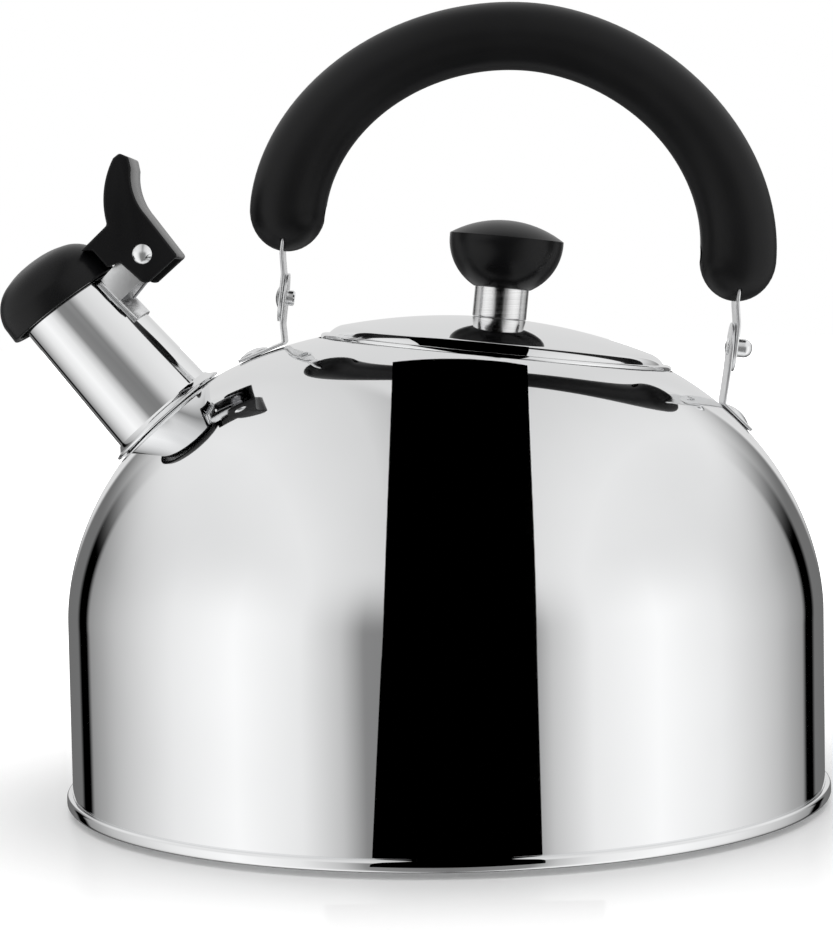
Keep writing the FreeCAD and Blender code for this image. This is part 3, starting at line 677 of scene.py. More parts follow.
# ---- body ----
@dataclass(frozen=True)
class Shell:
    """Wall and dome of one drawn sheet, with the lid's sunk seat, its neck and the spout hole."""

    wall_r: float = 108.5
    base_z: float = 54.4
    dome_h: float = 82.0
    power_r: float = 2.48
    power_z: float = 1.835
    wall_foot: float = 2.4
    dome_steps: int = 56
    cut_w: float = -0.35
    ledge_r: float = 51.2
    ledge_w: float = -0.9
    neck_r: float = 44.0
    neck_depth: float = 8.0
    seat_bend: float = 0.8
    spout_hole_r: float = 16.4

    def dome_z(self, radius: float) -> float:
        """Height of the dome's outside at a radius."""
        share = 1 - (radius / self.wall_r) ** self.power_r
        return self.base_z + self.dome_h * share ** (1 / self.power_z)

    def dome_point(self, turn: float) -> Point:
        """Radius and height on the dome's outside; turn is 0 at the wall and pi/2 at the top."""
        across = max(math.cos(turn), 0) ** (2 / self.power_r)
        up = math.sin(turn) ** (2 / self.power_z)
        return self.wall_r * across, self.base_z + self.dome_h * up

    def normal(self, x: float) -> Vector:
        """Outward normal of the dome at a point of its XZ outline."""
        step = 0.01
        slope = (self.dome_z(abs(x) + step) - self.dome_z(abs(x) - step)) / (2 * step)
        return Vector((-slope * math.copysign(1, x), 0, 1)).normalized()

    def outline(self) -> list[Point]:
        """Outside of wall and dome, from the wall's foot to the top of the dome."""
        points = [(self.wall_r, self.wall_foot), (self.wall_r, self.base_z / 2)]
        step = math.pi / 2 / self.dome_steps
        points += [self.dome_point(step * i) for i in range(self.dome_steps + 1)]
        points[-1] = (0, self.base_z + self.dome_h)
        return points

    def on_dome(self, point: Vector, radius: float) -> Vector:
        """The point of the dome in a lid-frame direction, at a radius from the lid's axis."""
        flat = Vector((point.x, point.y, 0)).normalized() * radius
        low, high = -10.0, 10.0
        for _ in range(40):
            middle = (low + high) / 2
            place = LID @ Vector((flat.x, flat.y, middle))
            above = place.z > self.dome_z(math.hypot(place.x, place.y))
            low, high = (low, middle) if above else (middle, high)
        return Vector((flat.x, flat.y, (low + high) / 2))

    def grow(self, bm: Mesh, loop: list, target) -> list:
        """Extrude an open edge loop, and put the new vertices where target says.

        Args:
            bm: The mesh, in the lid's frame.
            loop: The loop's edges.
            target: Function from a vertex's place to its new place.

        Returns:
            The new loop's edges.
        """
        grown = bmesh.ops.extrude_edge_only(bm, edges=loop)["geom"]
        for item in grown:
            if isinstance(item, bmesh.types.BMVert):
                item.co = target(item.co)
        return [item for item in grown
                if isinstance(item, bmesh.types.BMEdge) and item.is_boundary]

    def open_top(self, bm: Mesh) -> None:
        """Cut the dome off under the lid and turn its edge down into the seat and the neck."""
        bmesh.ops.transform(bm, matrix=LID.inverted(), verts=bm.verts)
        everything = bm.verts[:] + bm.edges[:] + bm.faces[:]
        cut = bmesh.ops.bisect_plane(
            bm, geom=everything, dist=MERGE_DISTANCE, plane_co=(0, 0, self.cut_w),
            plane_no=(0, 0, 1), clear_outer=True)["geom_cut"]
        loop = [item for item in cut if isinstance(item, bmesh.types.BMEdge)]
        ledge_r, neck_r, bend = self.ledge_r, self.neck_r, self.seat_bend
        loop = self.grow(bm, loop, lambda co: self.on_dome(co, ledge_r))
        loop = self.grow(bm, loop, lambda co: Vector((co.x, co.y, self.ledge_w)))
        loop = self.grow(bm, loop, lambda co: self.ringed(co, neck_r + bend, self.ledge_w))
        for degrees in (30, 60, 90):
            turn = math.radians(degrees)
            radius = neck_r + bend * (1 - math.sin(turn))
            drop = self.ledge_w - bend * (1 - math.cos(turn))
            loop = self.grow(bm, loop, lambda co, r=radius, w=drop: self.ringed(co, r, w))
        self.grow(bm, loop, lambda co: self.ringed(co, neck_r, -self.neck_depth))
        bmesh.ops.transform(bm, matrix=LID, verts=bm.verts)

    @staticmethod
    def ringed(point: Vector, radius: float, height: float) -> Vector:
        """The point moved to a radius and a height, in the same direction."""
        flat = Vector((point.x, point.y, 0)).normalized() * radius
        return Vector((flat.x, flat.y, height))

    def open_spout(self, bm: Mesh) -> None:
        """Take out the faces that lie in the spout's way, under the collar."""
        into_spout = SPOUT.inverted()
        holed = []
        for face in bm.faces:
            place = into_spout @ face.calc_center_median()
            if max(math.hypot(place.x, place.y), abs(place.z)) < self.spout_hole_r:
                holed.append(face)
        bmesh.ops.delete(bm, geom=holed, context="FACES")

    def build(self) -> None:
        """Build the body."""
        bm = lathe(self.outline(), closed=False)
        self.open_top(bm)
        self.open_spout(bm)
        bmesh.ops.recalc_face_normals(bm, faces=bm.faces)
        bmesh.ops.solidify(bm, geom=bm.faces[:], thickness=SHEET)
        publish(bm, "dome_and_wall", IDENTITY, MIRROR, Body.KETTLE, "body_shell", crease=40)


# ---- lid ----
@dataclass(frozen=True)
class Lid:
    """Crowned lid with its bead, the skirt under it, and the knob on a turned ferrule."""

    crown_w: float = 10.4
    crown_r: float = 158.0
    seat_r: float = 8.8
    crown_edge_r: float = 44.0
    shoulder: Point = (46.4, 3.25)
    bead_in: Point = (48.3, 1.4)
    rim_r: float = 50.6
    rim_low: float = -0.6
    bead_round: float = 0.95
    hole_r: float = 2.2
    skirt_r: float = 42.8
    skirt_t: float = 0.6
    skirt_low: float = -6.5
    skirt_lip_r: float = 40.5
    ferrule_r: float = 7.8
    ferrule_foot: float = 0.5
    knob_low: Point = (8.1, 18.9)
    knob_waist: Point = (14.1, 24.5)
    knob_edge_low: Point = (16.4, 32.0)
    knob_edge_w: float = 33.5
    knob_top_w: float = 38.4
    screw_r: float = 2.0

    def crown(self, radius: float) -> float:
        """Height of the lid's outside above its rim plane."""
        return self.crown_w - radius ** 2 / (2 * self.crown_r)

    def shell(self) -> Mesh:
        """The lid's sheet, spun from one closed outline."""
        edge_r = self.crown_edge_r
        radii = [self.seat_r + (edge_r - self.seat_r) * i / 24 for i in range(25)]
        over = [(self.hole_r, self.crown(self.seat_r))] + [(r, self.crown(r)) for r in radii]
        over += arc((edge_r, self.crown(edge_r)), self.shoulder, self.bead_in, 10)[1:]
        under = [(r, w - SHEET) for r, w in reversed(over)]
        bead = rounded([
            (*self.bead_in, 0), (self.rim_r, self.bead_in[1], self.bead_round),
            (self.rim_r, self.rim_low, self.bead_round),
            (self.bead_in[0] + 1.2, self.rim_low, 0.4), (*under[0], 0)], closed=False, steps=8)
        return lathe(over[:-1] + bead[:-1] + under)

    def skirt(self) -> Mesh:
        """Plug ring under the lid with an inward lip."""
        outer_r, low, lip_r = self.skirt_r, self.skirt_low, self.skirt_lip_r
        inner_r, lip_w = outer_r - self.skirt_t, low + self.skirt_t
        return lathe(rounded([
            (outer_r, low, 0.5), (outer_r, self.crown(outer_r) - SHEET, 0),
            (inner_r, self.crown(inner_r) - SHEET, 0), (inner_r, lip_w, 0.2),
            (lip_r, lip_w, 0.15), (lip_r, low, 0.15)]), steps=128)

    def ferrule(self) -> Mesh:
        """Turned stand of the knob, with a slightly rounded foot."""
        seat, top = self.crown(self.seat_r), self.knob_low[1]
        outline = rounded([(self.hole_r, seat, 0), (self.ferrule_r, seat, self.ferrule_foot),
                           (self.ferrule_r, top, 0), (self.hole_r, top, 0)], steps=6)
        return lathe(outline, steps=128)

    def knob(self) -> Mesh:
        """Bowl-sided knob with a crisp edge and a crowned top."""
        low_r, low_w = self.knob_low
        edge_r = self.knob_edge_low[0]
        side = arc(self.knob_low, self.knob_waist, self.knob_edge_low, 20)
        mirror = (-edge_r, self.knob_edge_w)
        crown = arc((edge_r, self.knob_edge_w), (0, self.knob_top_w), mirror, 48)[:25]
        crown[-1] = (0, self.knob_top_w)
        return lathe([(0, low_w)] + [(low_r - 0.6, low_w)] + side + crown, closed=False, steps=160)

    def screw(self) -> Mesh:
        """Pan-head screw from under the lid, its drive recess facing down."""
        seat = self.crown(self.seat_r) - 2 * SHEET
        bm = lathe(pan_screw(self.screw_r, 32.0 - seat, 4.0, 2.2), closed=False, steps=48)
        bmesh.ops.transform(bm, matrix=Matrix.Translation((0, 0, seat)), verts=bm.verts)
        return carved(bm, cross_recess(Vector((0, 0, seat - 2.2)), 2.6, 0.7))

    def build(self) -> None:
        """Build the lid."""
        publish(self.shell(), "crowned_lid", LID, MIRROR, Body.LID, "lid_shell")
        publish(self.skirt(), "plug_skirt", LID, MIRROR, Body.LID, "lid_skirt")
        publish(self.ferrule(), "turned_ferrule", LID, TURNED, Body.LID, "knob_ferrule")
        publish(self.knob(), "bowl_knob", LID, KNOB_BLACK, Body.LID, "knob")
        publish(self.screw(), "knob_pan_screw", LID, FASTENER, Body.LID, "knob_screw")
        keep_node("knob_washer", FASTENER)


def pan_screw(radius: float, length: float, head_r: float, head_h: float) -> list[Point]:
    """Outline of a screw along +Z whose domed head hangs below z = 0.

    Args:
        radius: Radius of the shank.
        length: Length of the shank.
        head_r: Radius of the head.
        head_h: Height of the head.

    Returns:
        An open outline that starts and ends on the axis.
    """
    head = arc((-head_r, 0), (0, -head_h), (head_r, 0), 24)[12:]
    head[0] = (0, -head_h)
    return head + [(radius, 0), (radius, length - radius / 2), (radius / 2, length), (0, length)]


RECESS_DEPTH = 2.0


def cross_recess(place: Vector, length: float, width: float) -> list[Mesh]:
    """Two crossed cutters for a screw's drive, about a place."""
    sizes = ((length, width, RECESS_DEPTH), (width, length, RECESS_DEPTH))
    return [box(place, size) for size in sizes]


# ---- spout ----
@dataclass(frozen=True)
class Spout:
    """Conical tube, its collar on the dome and the hinge clip on its top."""

    foot_r: float = 16.35
    tip_r: float = 14.2
    low_s: float = -5.0
    top_s: float = 50.0
    end_h: float = 4.4
    collar_bore: float = 16.4
    collar_r: float = 19.1
    collar_top: float = 2.7
    collar_t: float = 0.8
    collar_dish: float = 0.7
    clip_s: tuple[float, float] = (26.2, 41.0)
    clip_t: float = 1.0
    clip_gap: float = 0.05
    ear_half_y: float = 9.6
    ear_s: tuple[float, float] = (33.4, 41.4)
    ear_r: float = 4.2
    ear_foot: float = 12.6

    def outer_r(self, s: float) -> float:
        """Outer radius of the tube at a place along it."""
        slope = (self.tip_r - self.foot_r) / (self.top_s - self.low_s)
        return self.foot_r + slope * (s - self.low_s)

    def saddle(self) -> Mesh:
        """Sheet saddle of the hinge clip, wrapped over the top of the tube."""
        steps, rings = 24, 6
        low, high = self.clip_s
        grid = []
        for k in range(rings + 1):
            s = low + (high - low) * k / rings
            outer = self.outer_r(s) + self.clip_gap + self.clip_t
            spread = math.asin((self.ear_half_y - self.clip_gap) / outer)
            turns = [spread * (2 * i / steps - 1) for i in range(steps + 1)]
            around = [(outer, t) for t in turns]
            around += [(outer - self.clip_t, t) for t in reversed(turns)]
            grid.append([Vector((r * math.cos(t), r * math.sin(t), s)) for r, t in around])
        bm = swept(grid)
        soften(bm, 0.2, angle=50)
        return bm

    def ear(self, side: int) -> Mesh:
        """One ear of the hinge clip, round about the lever's pin."""
        t, s = LEVER_PIVOT
        low, high = self.ear_s
        eye = [(t + self.ear_r * math.cos(a), s + self.ear_r * math.sin(a))
               for a in (math.radians(d) for d in range(-60, 121, 10))]
        bm = slab([(self.ear_foot, low), (t - 2.0, low)] + eye + [(self.ear_foot, high)],
                  self.clip_t / 2)
        y = side * (self.ear_half_y - self.clip_t / 2)
        bmesh.ops.translate(bm, verts=bm.verts, vec=(0, y, 0))
        soften(bm, 0.2, angle=50)
        return bm

    def tube(self) -> Mesh:
        """The tube, its end cut level with the cap."""
        rings = [self.low_s + (self.top_s - self.low_s) * i / 8 for i in range(9)]
        bm = lathe([(self.outer_r(s), s) for s in rings], closed=False, steps=160)
        to_cap = SPOUT.inverted() @ CAP
        end = to_cap @ Vector((0, 0, self.end_h))
        normal = to_cap.to_3x3() @ Vector((0, 0, 1))
        bmesh.ops.bisect_plane(
            bm, geom=bm.verts[:] + bm.edges[:] + bm.faces[:], dist=MERGE_DISTANCE, plane_co=end,
            plane_no=normal, clear_outer=True)
        bmesh.ops.recalc_face_normals(bm, faces=bm.faces)
        outward = (face.normal.dot(face.calc_center_median()) for face in bm.faces)
        if sum(outward) < 0:
            bmesh.ops.reverse_faces(bm, faces=bm.faces)
        bmesh.ops.solidify(bm, geom=bm.faces[:], thickness=SHEET)
        return bm

    def collar(self) -> Mesh:
        """Dished ring with a rounded lip."""
        bore, top, sheet, dish = self.collar_bore, self.collar_top, self.collar_t, self.collar_dish
        lip_r = self.collar_r - sheet / 2
        middle_r = (bore + lip_r) / 2
        over = arc((bore, top), (middle_r, sheet + dish), (lip_r, sheet), 10)
        lip = arc((lip_r, sheet), (self.collar_r, sheet / 2), (lip_r, 0), 8)[1:]
        under = arc((lip_r, 0), (middle_r, dish), (bore, top - sheet), 10)[1:]
        return lathe(over + lip + under)

    def build(self) -> None:
        """Build the spout."""
        publish(self.tube(), "spout_cone", SPOUT, MIRROR, Body.KETTLE, "spout_tube")
        publish(self.collar(), "dished_collar", SPOUT, MIRROR, Body.KETTLE, "spout_collar")
        publish(self.saddle(), "hinge_saddle", SPOUT, STRAP_SHEET, Body.KETTLE, "hinge_clip")
        for side, name in ((-1, "near_hinge_ear"), (1, "far_hinge_ear")):
            publish(self.ear(side), name, SPOUT, STRAP_SHEET, Body.KETTLE, "hinge_clip")


# ---- whistle ----
@dataclass(frozen=True)
class Whistle:
    """Cap with its thumb lever, the two whistle plates, and the lever's pin and spring."""

    cap_r: float = 17.8
    side_h: float = 5.3
    shoulder: Point = (15.5, 10.4)
    crown: Point = (9.8, 14.15)
    crown_middle: Point = (6.9, 15.0)
    top_h: float = 15.5
    hole_r: float = 3.5
    bore_r: float = 16.0
    bore_h: float = 5.5
    chamber_r: float = 14.4
    chamber_h: float = 9.0
    dome_chamber: Point = (10.0, 12.8)
    half_y: float = 12.0
    channel_half_y: float = 10.2
    channel_top_t: float = 32.2
    channel_end_s: float = 44.5
    pin_r: float = 1.6
    pin_head_r: float = 2.8
    pin_head_h: float = 1.2
    coil_r: float = 2.98
    coil_half_y: float = 6.4
    wire_r: float = 0.4
    coil_turns: int = 13
    leg: tuple[Point, ...] = ((28.0, 33.5), (15.9, 31.6))
    leg_y: float = -6.0

    def cap(self) -> Mesh:
        """Round cap, hollow inside, with a steam hole through its crown."""
        lip = self.hole_r + 0.4
        outline = rounded([(self.bore_r, self.bore_h, 0), (self.bore_r, 0, 0.4),
                           (self.cap_r, 0, 0.5), (self.cap_r, self.side_h, 0)],
                          closed=False, steps=5)[:-1]
        outline += arc((self.cap_r, self.side_h), self.shoulder, self.crown, 14)[:-1]
        outline += arc(self.crown, self.crown_middle, (lip, self.top_h - 0.05), 10)
        outline += arc((lip, self.top_h - 0.05), (self.hole_r + 0.1, self.top_h - 0.2),
                       (self.hole_r, self.top_h - 0.6), 4)[1:]
        outline += [(self.hole_r, self.dome_chamber[1]), self.dome_chamber,
                    (self.dome_chamber[0], self.chamber_h), (self.chamber_r, self.chamber_h),
                    (self.chamber_r, self.bore_h)]
        return lathe(outline, steps=192)

    def lever(self) -> Mesh:
        """Thumb lever: a channel over the hinge, open below, with softened edges."""
        back = arc((24.6, 51.6), (31.5, 60.3), (38.5, 64.4), 14)
        tip = rounded([(38.5, 64.4, 0), (40.8, 64.3, 1.1), (42.0, 61.7, 0.9), (40.4, 58.9, 0)],
                      closed=False)
        pad = arc((40.4, 58.9), (36.5, 53.7), (34.8, 46.5), 14)
        heel = rounded([(34.8, 46.5, 0), (33.8, 31.7, 0.9), (22.8, 31.6, 0)], closed=False)
        belly = arc((22.8, 31.6), (21.4, 32.7), (21.0, 34.4), 8)
        skirt = [(20.2, 41.3), (16.6, 42.6), (16.6, 49.0), (14.0, 51.1)]
        bm = slab(back + tip[1:] + pad[1:] + heel[1:] + belly[1:] + skirt, self.half_y)
        centre = Vector((self.channel_top_t / 2, 0, self.channel_end_s / 2))
        size = (self.channel_top_t, 2 * self.channel_half_y, self.channel_end_s)
        bm = carved(bm, [box(centre, size)])
        soften(bm, 0.7, angle=38, segments=4)
        return bm

    def spring(self) -> Mesh:
        """Torsion spring about the pin: a wound coil, and one leg down to the saddle."""
        t, s = LEVER_PIVOT
        steps = self.coil_turns * 24
        path = []
        for i in range(steps + 1):
            turn, share = FULL_TURN * i / 24, 1 - 2 * i / steps
            y = self.coil_half_y * share - math.copysign(self.wire_r, share)
            path.append(Vector((t + self.coil_r * math.cos(turn), y,
                                s + self.coil_r * math.sin(turn))))
        path += [Vector((leg_t, self.leg_y, leg_s)) for leg_t, leg_s in self.leg]
        return rod(path, self.wire_r)

    def pin(self) -> Mesh:
        """Pin through the lever with a domed head on each side."""
        reach, head_r = self.half_y + 0.1, self.pin_head_r
        top = (0, reach + self.pin_head_h)
        head = arc((head_r, reach), top, (-head_r, reach), 24)[:13]
        head[-1] = top
        half = [(self.pin_r, reach)] + head
        outline = [(r, -h) for r, h in reversed(half)] + half
        return lathe(outline, closed=False, steps=SMALL_LATHE_STEPS)

    def build(self) -> None:
        """Build the whistle."""
        publish(self.cap(), "whistle_cap_moulding", CAP, KNOB_BLACK, Body.WHISTLE, "whistle_cap")
        publish(self.lever(), "thumb_lever", SPOUT, KNOB_BLACK, Body.WHISTLE, "whistle_cap")
        pivot = SPOUT @ Vector((LEVER_PIVOT[0], 0, LEVER_PIVOT[1]))
        crosswise = Matrix.Translation(pivot) @ Matrix.Rotation(math.radians(-90), 4, "X")
        publish(self.pin(), "lever_pin", crosswise, FASTENER, Body.KETTLE, "lever_rivet")
        publish(self.spring(), "wound_lever_spring", SPOUT, SPRING_WIRE, Body.KETTLE,
                "lever_spring")
        for name in ("whistle_seat_plate", "whistle_front_plate"):
            keep_node(name, STRAP_SHEET)


# ---- grip ----
@dataclass(frozen=True)
class Grip:
    """Bowed handgrip with rounded ends, and the two screws that hold it."""

    outer: Triple = (76.0, 66.1, 1.906)
    inner: Triple = (54.0, 46.8, 1.935)
    half_y: float = 11.0
    rear_angle: float = 2.6
    front_angle: float = 182.6
    steps: int = 84
    end_length: float = 12.0
    end_steps: int = 14
    end_sweep: float = 88.0
    section_steps: int = 56
    slot_half_y: float = 7.7
    slot_half_t: float = 0.6
    slot_top: float = 34.0
    screw_w: float = 25.0
    screw_u: float = 58.5
    screw_r: float = 1.5
    screw_length: float = 12.5
    screw_head: Point = (2.7, 1.8)
    recess_r: float = 2.8

    @staticmethod
    def curve(sizes: Triple, degrees: float) -> Vector:
        """Point of a superellipse in the grip's plane."""
        half_u, half_w, power = sizes
        c, s = math.cos(math.radians(degrees)), math.sin(math.radians(degrees))
        u = math.copysign(abs(c) ** (2 / power), c) * half_u
        w = math.copysign(abs(s) ** (2 / power), s) * half_w
        return Vector((u, 0, w))

    def section(self, degrees: float, end_turn: float, sign: int) -> list[Vector]:
        """One oval section.

        Args:
            degrees: Angle along the grip.
            end_turn: Angle round the grip's end in degrees, 0 along the bow.
            sign: Way out of the grip at this end.

        Returns:
            The section's points.
        """
        outer, inner = self.curve(self.outer, degrees), self.curve(self.inner, degrees)
        across = (outer - inner).normalized()
        along = Vector((-across.z, 0, across.x)) * sign
        shrink = math.cos(math.radians(end_turn))
        centre = (outer + inner) / 2 + along * self.end_length * math.sin(math.radians(end_turn))
        half = (outer - inner).length / 2 * shrink
        turns = [FULL_TURN * i / self.section_steps for i in range(self.section_steps)]
        return [centre + across * half * math.cos(t)
                + Vector((0, self.half_y * shrink * math.sin(t), 0)) for t in turns]

    def body(self) -> Mesh:
        """The grip as a loft of oval sections, with a slot and a screw recess at each end."""
        steps = self.end_steps
        turns = [self.end_sweep * math.sin(math.pi / 2 * i / steps) for i in range(1, steps + 1)]
        span = self.front_angle - self.rear_angle
        bow = [self.rear_angle + span * i / self.steps for i in range(self.steps + 1)]
        sections = [self.section(self.rear_angle, turn, -1) for turn in reversed(turns)]
        sections += [self.section(degrees, 0, 1) for degrees in bow]
        sections += [self.section(self.front_angle, turn, 1) for turn in turns]
        bm = swept(sections)
        bmesh.ops.transform(bm, matrix=HANDLE.inverted() @ GRIP, verts=bm.verts)
        return carved(bm, [cutter for side, _ in SIDES for cutter in self.cutters(side)])

    def cutters(self, side: int) -> list[Mesh]:
        """What is cut out of one end: the strap's slot and the screw's recess."""
        centre = Vector((side * STRAP_U + STRAP_SHIFT, 0, self.slot_top / 2))
        slot = box(centre, (2 * self.slot_half_t, 2 * self.slot_half_y, self.slot_top))
        recess = bmesh.new()
        depth = 2 * self.screw_length
        inwards = facing(Vector((side * self.screw_u, 0, self.screw_w)), Vector((-side, 0, 0)))
        bmesh.ops.create_cone(
            recess, cap_ends=True, segments=48, radius1=self.recess_r, radius2=self.recess_r,
            depth=depth, matrix=inwards @ Matrix.Translation((0, 0, depth / 2)))
        return [slot, recess]

    def screw(self) -> Mesh:
        """Self-tapping screw, its head below the origin."""
        head_r, head_h = self.screw_head
        outline = pan_screw(self.screw_r, self.screw_length, head_r, head_h)
        bm = lathe(outline, closed=False, steps=48)
        return carved(bm, cross_recess(Vector((0, 0, -head_h)), 2.2, 0.6))

    def build(self) -> None:
        """Build the grip."""
        publish(self.body(), "bowed_grip", HANDLE, GRIP_BLACK, Body.HANDLE, "grip")
        for side, name in SIDES:
            head = Vector((side * self.screw_u, 0, self.screw_w))
            place = HANDLE @ facing(head, Vector((side, 0, 0)))
            publish(self.screw(), f"{name}_tapping_screw", place, FASTENER, Body.HANDLE,
                    f"{name}_grip_screw")


# ---- handle mounts ----
@dataclass(frozen=True)
class Mounts:
    """Brackets on the dome, straps into the grip, and the rivets, screw and nut between them."""

    strap_t: float = 1.0
    half_y: float = 7.0
    strap_w: Triple = (6.6, 12.5, 34.0)
    bracket_u: float = 64.3
    knee_w: float = -7.5
    running: float = 0.05
    head_gap: float = 0.1
    pivot_r: float = 1.8
    rivet_head: Point = (3.25, 1.2)
    rivet_tail: Point = (2.2, 2.0)
    screw_head: Point = (2.5, 1.1)
    nut: Point = (2.7, 4.6)
    nut_wall: float = 0.9
    foot_rivet_r: float = 1.6
    foot_head: Point = (4.2, 1.3)
    foot_tail: Point = (2.6, 0.8)
    # foot rivet, bend and toe of the front and the rear bracket
    feet: tuple[Triple, ...] = ((-53.3, -44.7, 4.4), (84.4, 80.9, 5.2))

    @property
    def inner(self) -> float:
        """The brackets' inner faces, along the pivot line."""
        return self.bracket_u - self.strap_t / 2

    @property
    def seat(self) -> float:
        """Where the pivot heads sit, along the pivot line."""
        return STRAP_U + self.strap_t / 2 + self.head_gap

    def strap(self, side: int) -> Mesh:
        """Flat strap with a round lower end, joggled on its way into the grip."""
        low, high, top = self.strap_w
        u = side * STRAP_U
        line = rounded([(u, -self.half_y, 0), (u, low, 9.0), (u + STRAP_SHIFT, high, 9.0),
                        (u + STRAP_SHIFT, top - 0.3, 0)], closed=False, steps=8)
        return ribbon(line, self.strap_t, self.half_y, self.half_y)

    def bracket(self, side: int, foot_x: float, bend_x: float, toe: float) -> Mesh:
        """Bent plate: a foot on the dome and a kneed upright with a round top."""
        shell = Shell()
        normal = shell.normal(foot_x)
        outward = Vector((normal.z, 0, -normal.x)) * side
        on_dome = Vector((foot_x, 0, shell.dome_z(abs(foot_x))))
        on_foot = on_dome + normal * (self.strap_t / 2 + self.running)
        top = HANDLE @ Vector((side * self.bracket_u, 0, self.half_y))
        knee = HANDLE @ Vector((side * self.bracket_u, 0, self.knee_w))
        bend = on_foot + outward * ((bend_x - on_foot.x) / outward.x)
        end = on_foot + outward * toe
        line = rounded([(top.x, top.z, 0), (knee.x, knee.z, 6.0), (bend.x, bend.z, 0.9),
                        (end.x, end.z, 0)], closed=False, steps=8)
        return ribbon(line, self.strap_t, self.half_y, self.half_y)

    def foot_rivet(self) -> Mesh:
        """Rivet through bracket and dome; z = 0 is the dome's outside."""
        over = self.strap_t + self.running
        under = -SHEET - self.running
        tail_r, tail_h = self.foot_tail
        tail = list(reversed(domed(tail_r, -tail_h, under)))
        return lathe(studded(domed(*self.foot_head, over), self.foot_rivet_r, tail), closed=False,
                     steps=SMALL_LATHE_STEPS)

    def front_rivet(self) -> Mesh:
        """Pivot rivet; z = 0 is the bracket's inner face and +z is outwards."""
        reach = self.seat - self.inner
        tail_r, tail_h = self.rivet_tail
        tail = [(0, -tail_h), (tail_r - 0.4, -tail_h), (tail_r, -tail_h + 0.4), (tail_r, 0)]
        return lathe(studded(domed(*self.rivet_head, reach), self.pivot_r, tail), closed=False,
                     steps=SMALL_LATHE_STEPS)

    def rear_screw(self) -> Mesh:
        """Pivot screw; z = 0 is the bracket's inner face and +z is outwards."""
        tip = self.seat - self.inner + self.nut[1] - self.nut_wall
        tail = list(reversed(domed(self.screw_head[0], -self.screw_head[1], 0)))
        shank = [(self.pivot_r, 0), (self.pivot_r, tip), (0, tip)]
        bm = lathe(tail + shank, closed=False, steps=48)
        return carved(bm, cross_recess(Vector((0, 0, -1.6)), 2.2, 0.6))

    def cap_nut(self) -> Mesh:
        """Round-ended nut; z = 0 is its seat and +z is outwards."""
        radius, height = self.nut
        bore = height - self.nut_wall
        end = arc((radius, height * 0.42), (radius * 0.72, height * 0.86), (0, height), 16)
        end[-1] = (0, height)
        outline = [(0, bore), (self.pivot_r, bore), (self.pivot_r, 0), (radius - 0.25, 0),
                   (radius, 0.25), *end]
        return lathe(outline, closed=False, steps=SMALL_LATHE_STEPS)

    def build(self) -> None:
        """Build the mounts."""
        shell = Shell()
        for (side, name), (foot_x, bend_x, toe) in zip(SIDES, self.feet):
            publish(self.bracket(side, foot_x, bend_x, toe), f"{name}_bent_bracket", IDENTITY,
                    STRAP_SHEET, Body.KETTLE, f"{name}_bracket")
            publish(self.strap(side), f"{name}_joggled_strap", HANDLE, STRAP_SHEET, Body.HANDLE,
                    f"{name}_strap")
            on_dome = Vector((foot_x, 0, shell.dome_z(abs(foot_x))))
            publish(self.foot_rivet(), f"{name}_domed_foot_rivet",
                    facing(on_dome, shell.normal(foot_x)), FASTENER, Body.KETTLE,
                    f"{name}_foot_rivet")
        for bm, name, u, node in (
                (self.front_rivet(), "domed_pivot_rivet", -self.inner, "front_pivot_rivet"),
                (self.rear_screw(), "pivot_pan_screw", self.inner, "rear_pivot_screw"),
                (self.cap_nut(), "round_cap_nut", self.seat, "rear_cap_nut")):
            outwards = facing(Vector((u, 0, 0)), Vector((math.copysign(1, u), 0, 0)))
            publish(bm, name, HANDLE @ outwards, FASTENER, Body.KETTLE, node)


# ---- studio ----
@dataclass(frozen=True)
class Viewpoint:
    """Camera: where it stands, in metres, and how it is turned, in degrees."""

    distance: float = 0.74555
    height: float = 0.14778
    around: float = 0.4
    pitch: float = 3.965
    yaw: float = 0.579
    roll: float = -1.1
    lens: float = 99.96

    def build(self) -> None:
        """Make the camera and use it."""
        camera = bpy.data.objects.new("camera", bpy.data.cameras.new("camera"))
        camera.data.lens = self.lens
        camera.data.sensor_width = 36
        camera.data.clip_start = 0.01
        turned = Matrix.Rotation(math.radians(self.around), 4, "Z")
        aimed = Matrix.Rotation(math.radians(self.yaw), 4, "Z")
        aimed = aimed @ Matrix.Rotation(math.radians(90 - self.pitch), 4, "X")
        aimed = aimed @ Matrix.Rotation(math.radians(self.roll), 4, "Z")
        camera.matrix_world = turned @ Matrix.Translation((0, -self.distance, self.height)) @ aimed
        bpy.context.scene.collection.objects.link(camera)
        bpy.context.scene.camera = camera


